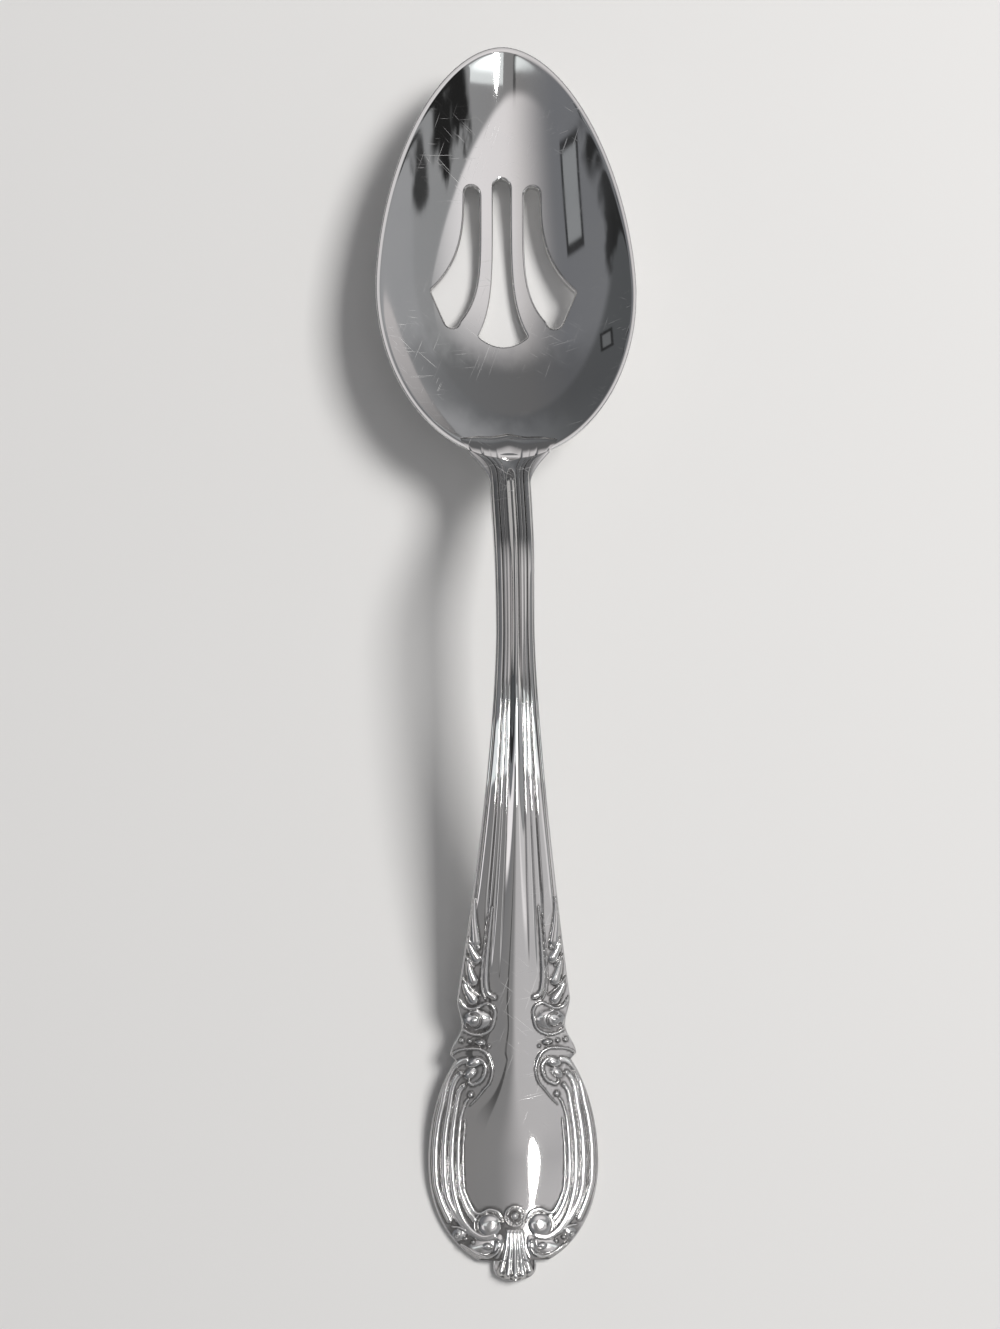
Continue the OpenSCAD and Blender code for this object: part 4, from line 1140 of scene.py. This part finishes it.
def steelMaterial(name, roughness, smudgeRough, scratches, paintedShadeDepth, waviness, scuffs=()):
    material = bpy.data.materials.new(name)
    material.use_nodes = True
    s, t = Shader(material.node_tree), steel
    place = s.node("ShaderNodeTexCoord", out=3)
    groove = s.node("ShaderNodeAttribute", {"attribute_name": "groove"}, out=2)
    smudge = s.between(s.noise(place, *t["smudgeNoise"]), *t["smudgeSpan"])
    fine = s.noise(place, t["fineScale"])
    lines = None
    for turn, stretch in t["scratchRuns"]:
        spun = s.node("ShaderNodeVectorRotate", {"rotation_type": "Z_AXIS"},
                      {"Vector": place, "Angle": turn})
        size = (t["scratchScale"], t["scratchScale"] / stretch, t["scratchDepth"])
        line = s.between(s.noise(s.scaled(spun, size), 1.0, 1.0), *t["scratchSpan"])
        lines = line if lines is None else lines.atLeast(line)
    patches = s.between(s.noise(place, t["patchScale"], 1.0), *t["patchSpan"])
    x, y = s.parts(place)[:2]
    for scuff in scuffs:  # ovals with more scratches, in millimetres
        patches = patches.atLeast(s.zone(x, y, *(value * mm for value in scuff), t["scuffSoft"]))
    marks = lines * patches * scratches
    # painted shade: the groove attribute pulls the colour towards dark
    dark = groove ** t["darkPower"] * paintedShadeDepth
    colour = s.colours(smudge * t["smudgeShare"], t["colour"], t["smudge"])
    colour = s.colours(dark, colour, t["dark"])
    rough = smudge * smudgeRough + fine * t["fineRough"] + marks * t["scratchRough"] + dark * t["darkRough"]
    wave = s.noise(place, t["waveScale"]) * waviness + marks * t["scratchDent"]
    bump = s.node("ShaderNodeBump", None, {"Strength": 1.0, "Distance": 1.0, "Height": wave})
    surface = s.node("ShaderNodeBsdfPrincipled", None, {
        "Base Color": colour, "Roughness": rough + roughness, "Metallic": 1 - marks * t["scratchMatt"],
        "Normal": bump})
    s.node("ShaderNodeOutputMaterial", None, {0: surface})
    return material


polished = steelMaterial("polishedSteel", 0.04, 0.03, 0.55, 0.5, 0.00001,
                         ((-10.0, 88.0, 5.0, 7.0), (1.0, 54.0, 11.0, 6.0)))
stemSteel = steelMaterial("stemSteel", 0.023, 0.01, 0.6, 0.75, 0.000003, ((3.4, -77.0, 2.6, 4.5),))
reliefSteel = steelMaterial("reliefSteel", 0.15, 0.03, 0.3, 0.48, 0.000003)
print("materials made")


def finish(piece, slotName, material, *nodes):
    piece.data.materials.append(material)
    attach(piece, "root")
    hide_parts(*nodes)


for build, node in ((buildBowl, "bowl"), (buildShelf, "heel_fan"), (buildTongue, "heel_tongue")):
    finish(build(), "polished_steel", polished, node)
print("bowl made")
for build, node in ((buildNeck, "neck"), (buildStem, "stem")):
    finish(build(), "stem_steel", stemSteel, node)
print("stem made")
for build, node in ((buildHusk, "husk"), (buildUpperScroll, "upper_scroll"), (buildHorn, "horn"),
                    (buildShoulderScroll, "shoulder_scroll"), (buildFrame, "frame"), (buildBoss, "end_boss"),
                    (buildEndScroll, "end_scroll")):
    right, left = build()
    finish(right, "relief_steel", reliefSteel, node + "_right")
    finish(left, "relief_steel", reliefSteel, node + "_left")
for build, node in ((buildRingBead, "ring_bead"), (buildShell, "shell_tip")):
    finish(build()[0], "relief_steel", reliefSteel, node)
finish(buildBlade(), "stem_steel", stemSteel, "blade")
print("handle made")


# Floor, sky and lamps in metres, camera in millimetres

studio = {
    "floor": (0.80, 0.795, 0.785, 1.0), "cloud": (0.788, 0.783075, 0.773225, 1.0), "floorSize": 30.0,
    "cloudScale": 14.0, "floorRough": 0.65,
    "dark": (0.02, 0.02, 0.02, 1.0), "wall": (0.3, 0.31, 0.32, 1.0), "dusk": (0.09, 0.092, 0.097, 1.0),
    "stops": ((0.0, (0.22, 0.225, 0.235, 1.0)), (0.3, (0.20, 0.205, 0.22, 1.0)),
              (0.44, (0.27, 0.265, 0.265, 1.0)), (0.6, (0.30, 0.30, 0.305, 1.0)),
              (0.75, (0.33, 0.335, 0.34, 1.0)), (1.0, (0.37, 0.375, 0.385, 1.0))),
    "lowStops": ((0.0, (0.09, 0.095, 0.1, 1.0)), (0.3, (0.12, 0.125, 0.13, 1.0)),
                 (0.5, (0.22, 0.225, 0.235, 1.0)), (0.7, (0.36, 0.365, 0.375, 1.0)),
                 (1.0, (0.40, 0.405, 0.415, 1.0))),
    "lowSpan": (0.27, 0.33), "swayScale": 9.0, "sway": 0.16,
    "patches": (  # middle, radii, softness, share, colour, and whether it is square
        (0.43, -0.11, 0.08, 0.06, 0.3, 1.0, "dark", False),
        (0.54, -0.05, 0.1, 0.07, 0.3, 1.0, "dark", False),
        (0.69, 0.06, 0.06, 0.06, 0.3, 0.9, "dark", False),
        (-0.64, -0.06, 0.07, 0.09, 0.25, 0.95, "dark", False),
        (-0.72, 0.1, 0.05, 0.12, 0.25, 0.9, "dark", False),
        (0.0, 0.6, 0.75, 0.2, 0.45, 0.6, "dusk", False),
        (-0.09, -0.25, 0.012, 0.09, 0.3, 0.7, "dark", True),
        (-0.49, 0.03, 0.06, 0.09, 0.05, 0.9, "dark", True),
        (-0.49, 0.03, 0.046, 0.072, 0.05, 1.0, "wall", True),
        (-0.66, 0.47, 0.04, 0.045, 0.08, 0.9, "dark", True),
        (-0.66, 0.47, 0.026, 0.03, 0.08, 0.5, "wall", True)),
}


def buildStage():
    half = studio["floorSize"] / 2
    mesh = bpy.data.meshes.new("floor")
    corners = [(-half, -half, 0), (half, -half, 0), (half, half, 0), (-half, half, 0)]
    mesh.from_pydata(corners, [], [(0, 1, 2, 3)])
    floor = bpy.data.objects.new("floor", mesh)
    bpy.context.scene.collection.objects.link(floor)
    material = bpy.data.materials.new("paleFloor")
    material.use_nodes = True
    s = Shader(material.node_tree)
    cloud = s.noise(s.node("ShaderNodeTexCoord", out=3), studio["cloudScale"], 3.0)
    colour = s.colours(cloud, studio["floor"], studio["cloud"])
    surface = s.node("ShaderNodeBsdfPrincipled", None,
                     {"Base Color": colour, "Roughness": studio["floorRough"]})
    s.node("ShaderNodeOutputMaterial", None, {0: surface})
    mesh.materials.append(material)


def buildWorld():
    world = bpy.data.worlds.new("studioSky")
    world.use_nodes = True
    s = Shader(world.node_tree)
    facing = s.node("ShaderNodeTexCoord", out=0)
    dx, dy, dz = s.parts(facing)
    down = (dz + 1.0).atLeast(0.02)
    x, y = dx / down, dy / down
    high, low = (s.node("ShaderNodeValToRGB", {"stops": studio[name]}, [x * 0.5 + 0.5])
                 for name in ("stops", "lowStops"))
    colour = s.colours(s.between(dz, *studio["lowSpan"], 1.0, 0.0), high, low)
    sway = (s.noise(facing, studio["swayScale"], 3.0) - 0.5) * studio["sway"]
    for cx, cy, rx, ry, soft, share, name, square in studio["patches"]:
        place = (x, y) if square else (x + sway, y - sway)
        colour = s.colours(s.zone(*place, cx, cy, rx, ry, soft, square) * share, colour, studio[name])
    shine = s.node("ShaderNodeBackground", None, {0: colour, 1: 1.0})
    s.node("ShaderNodeOutputWorld", None, {0: shine})
    bpy.context.scene.world = world


def placed(thing, across, up, away, place):
    rows = [(across[k], up[k], away[k], place[k]) for k in range(3)]
    thing.matrix_world = Matrix(rows + [(0, 0, 0, 1)])
    bpy.context.scene.collection.objects.link(thing)


def addLamp(name, place, size, brightness, colour, aim=None, shape="RECTANGLE", pattern=None, soft=False):
    light = bpy.data.lights.new(name, "AREA")
    light.shape = shape
    light.size, light.size_y = size
    light.energy = brightness * math.pi * size[0] * size[1] * (math.pi / 4 if shape == "ELLIPSE" else 1)
    light.color = colour
    if pattern:
        light.use_nodes = True
        s = Shader(light.node_tree)
        u, v = s.parts(s.node("ShaderNodeNewGeometry", out=5))[:2]
        s.node("ShaderNodeOutputLight", None, {0: s.node("ShaderNodeEmission", None, {1: pattern(s, u, v)})})
    lamp = bpy.data.objects.new(name, light)
    away = (Vector(place) - Vector(aim or (place[0], place[1], 0))).normalized()
    across = Vector((0, 1, 0)).cross(away).normalized()
    placed(lamp, across, away.cross(across), away, place)
    lamp.visible_camera = False
    lamp.visible_glossy = not soft  # the soft lamp lights matt things, and the others are only mirrored
    lamp.visible_diffuse = soft


def softEdge(soft):  # a card that fades over a share of its half size
    def pattern(s, u, v):
        return (s.between(abs(u - 0.5) * 2, 1 - soft, 1.0, 1.0, 0.0)
                * s.between(abs(v - 0.5) * 2, 1 - soft, 1.0, 1.0, 0.0))
    return pattern


bowlCard = {"place": (0.15, 0.27, 0.42), "size": (1.1, 0.74), "brightness": 0.62,
            "edge": (-0.05, -0.034), "middleX": -0.1, "bend": 0.55,
            "left": (-0.36, 0.02), "right": (0.25, 0.72, 1.0, 0.4), "far": (0.1, 0.62, 1.0, 0.0)}


def bowlPattern(s, u, v):  # the bowl's ceiling: a clear near edge, fading to the left and far away
    c = bowlCard
    x = (u - 0.5) * c["size"][0] + c["place"][0]
    y = (v - 0.5) * c["size"][1] + c["place"][1]
    side = x - c["middleX"]
    near = s.between(y - side * side * c["bend"], *c["edge"])
    return near * (s.between(x, *c["left"]) * s.between(x, *c["right"])) * s.between(y, *c["far"])


white, cool, warm, pale = (1.0, 0.99, 0.98), (0.93, 0.99, 0.99), (1.0, 0.955, 0.96), (1.0, 0.985, 0.97)
origin = (0, 0, 0)
cards = (  # name, place, size, brightness, colour, and the share that fades
    ("handleCard", (0.19, -0.29, 0.425), (0.44, 0.32), 0.3, warm, 0.5),
    ("leftCard", (-0.4, -0.27, 0.43), (0.3, 0.3), 0.9, warm, 0.4),
    ("rightCard", (0.42, -0.25, 0.435), (0.3, 0.32), 0.38, warm, 0.4),
    ("leftBar", (-0.22, -0.116, 0.44), (0.3, 0.085), 0.8, cool, 0.2),
    ("rightBar", (0.25, -0.116, 0.445), (0.3, 0.085), 0.8, cool, 0.2),
)

camera = {"target": (-1.69, -4.12, 8.0), "distance": 380, "tilt": 10, "turn": 4.10, "roll": -0.73,
          "focus": 2235, "pictureHeight": 1329, "sensor": 36}  # focus and height in the photo's pixels


def buildCamera():
    c = camera
    tilt, turn, roll = (math.radians(c[name]) for name in ("tilt", "turn", "roll"))
    away = Vector((-math.sin(turn) * math.cos(tilt), -math.sin(tilt), math.cos(tilt) * math.cos(turn)))
    away.normalize()
    place = (Vector(c["target"]) + c["distance"] * away) * mm
    right = (-away).cross(Vector((0, 1, 0))).normalized()
    up = right.cross(-away)
    lens = bpy.data.cameras.new("camera")
    lens.lens = c["focus"] / c["pictureHeight"] * c["sensor"]
    lens.sensor_width = c["sensor"]
    lens.sensor_fit = "AUTO"
    made = bpy.data.objects.new("camera", lens)
    placed(made, right * math.cos(roll) + up * math.sin(roll), up * math.cos(roll) - right * math.sin(roll),
           away, place)
    bpy.context.scene.camera = made


buildStage()
buildWorld()
addLamp("keyLamp", (0.111, -0.15, 0.5), (0.056, 0.145), 34.0, white, origin, "ELLIPSE")
addLamp("bowlCard", bowlCard["place"], bowlCard["size"], bowlCard["brightness"], warm, pattern=bowlPattern)
addLamp("tipCard", (0.175, -0.07, 0.415), (0.3, 0.04), 0.62, cool)
for name, place, size, brightness, colour, fade in cards:
    addLamp(name, place, size, brightness, colour, pattern=softEdge(fade))
addLamp("softKey", (0.72, 0.33, 1.05), (0.5, 0.5), 19.4, pale, origin, soft=True)
buildCamera()
bpy.context.scene.view_settings.view_transform = "Standard"
print("stage made")
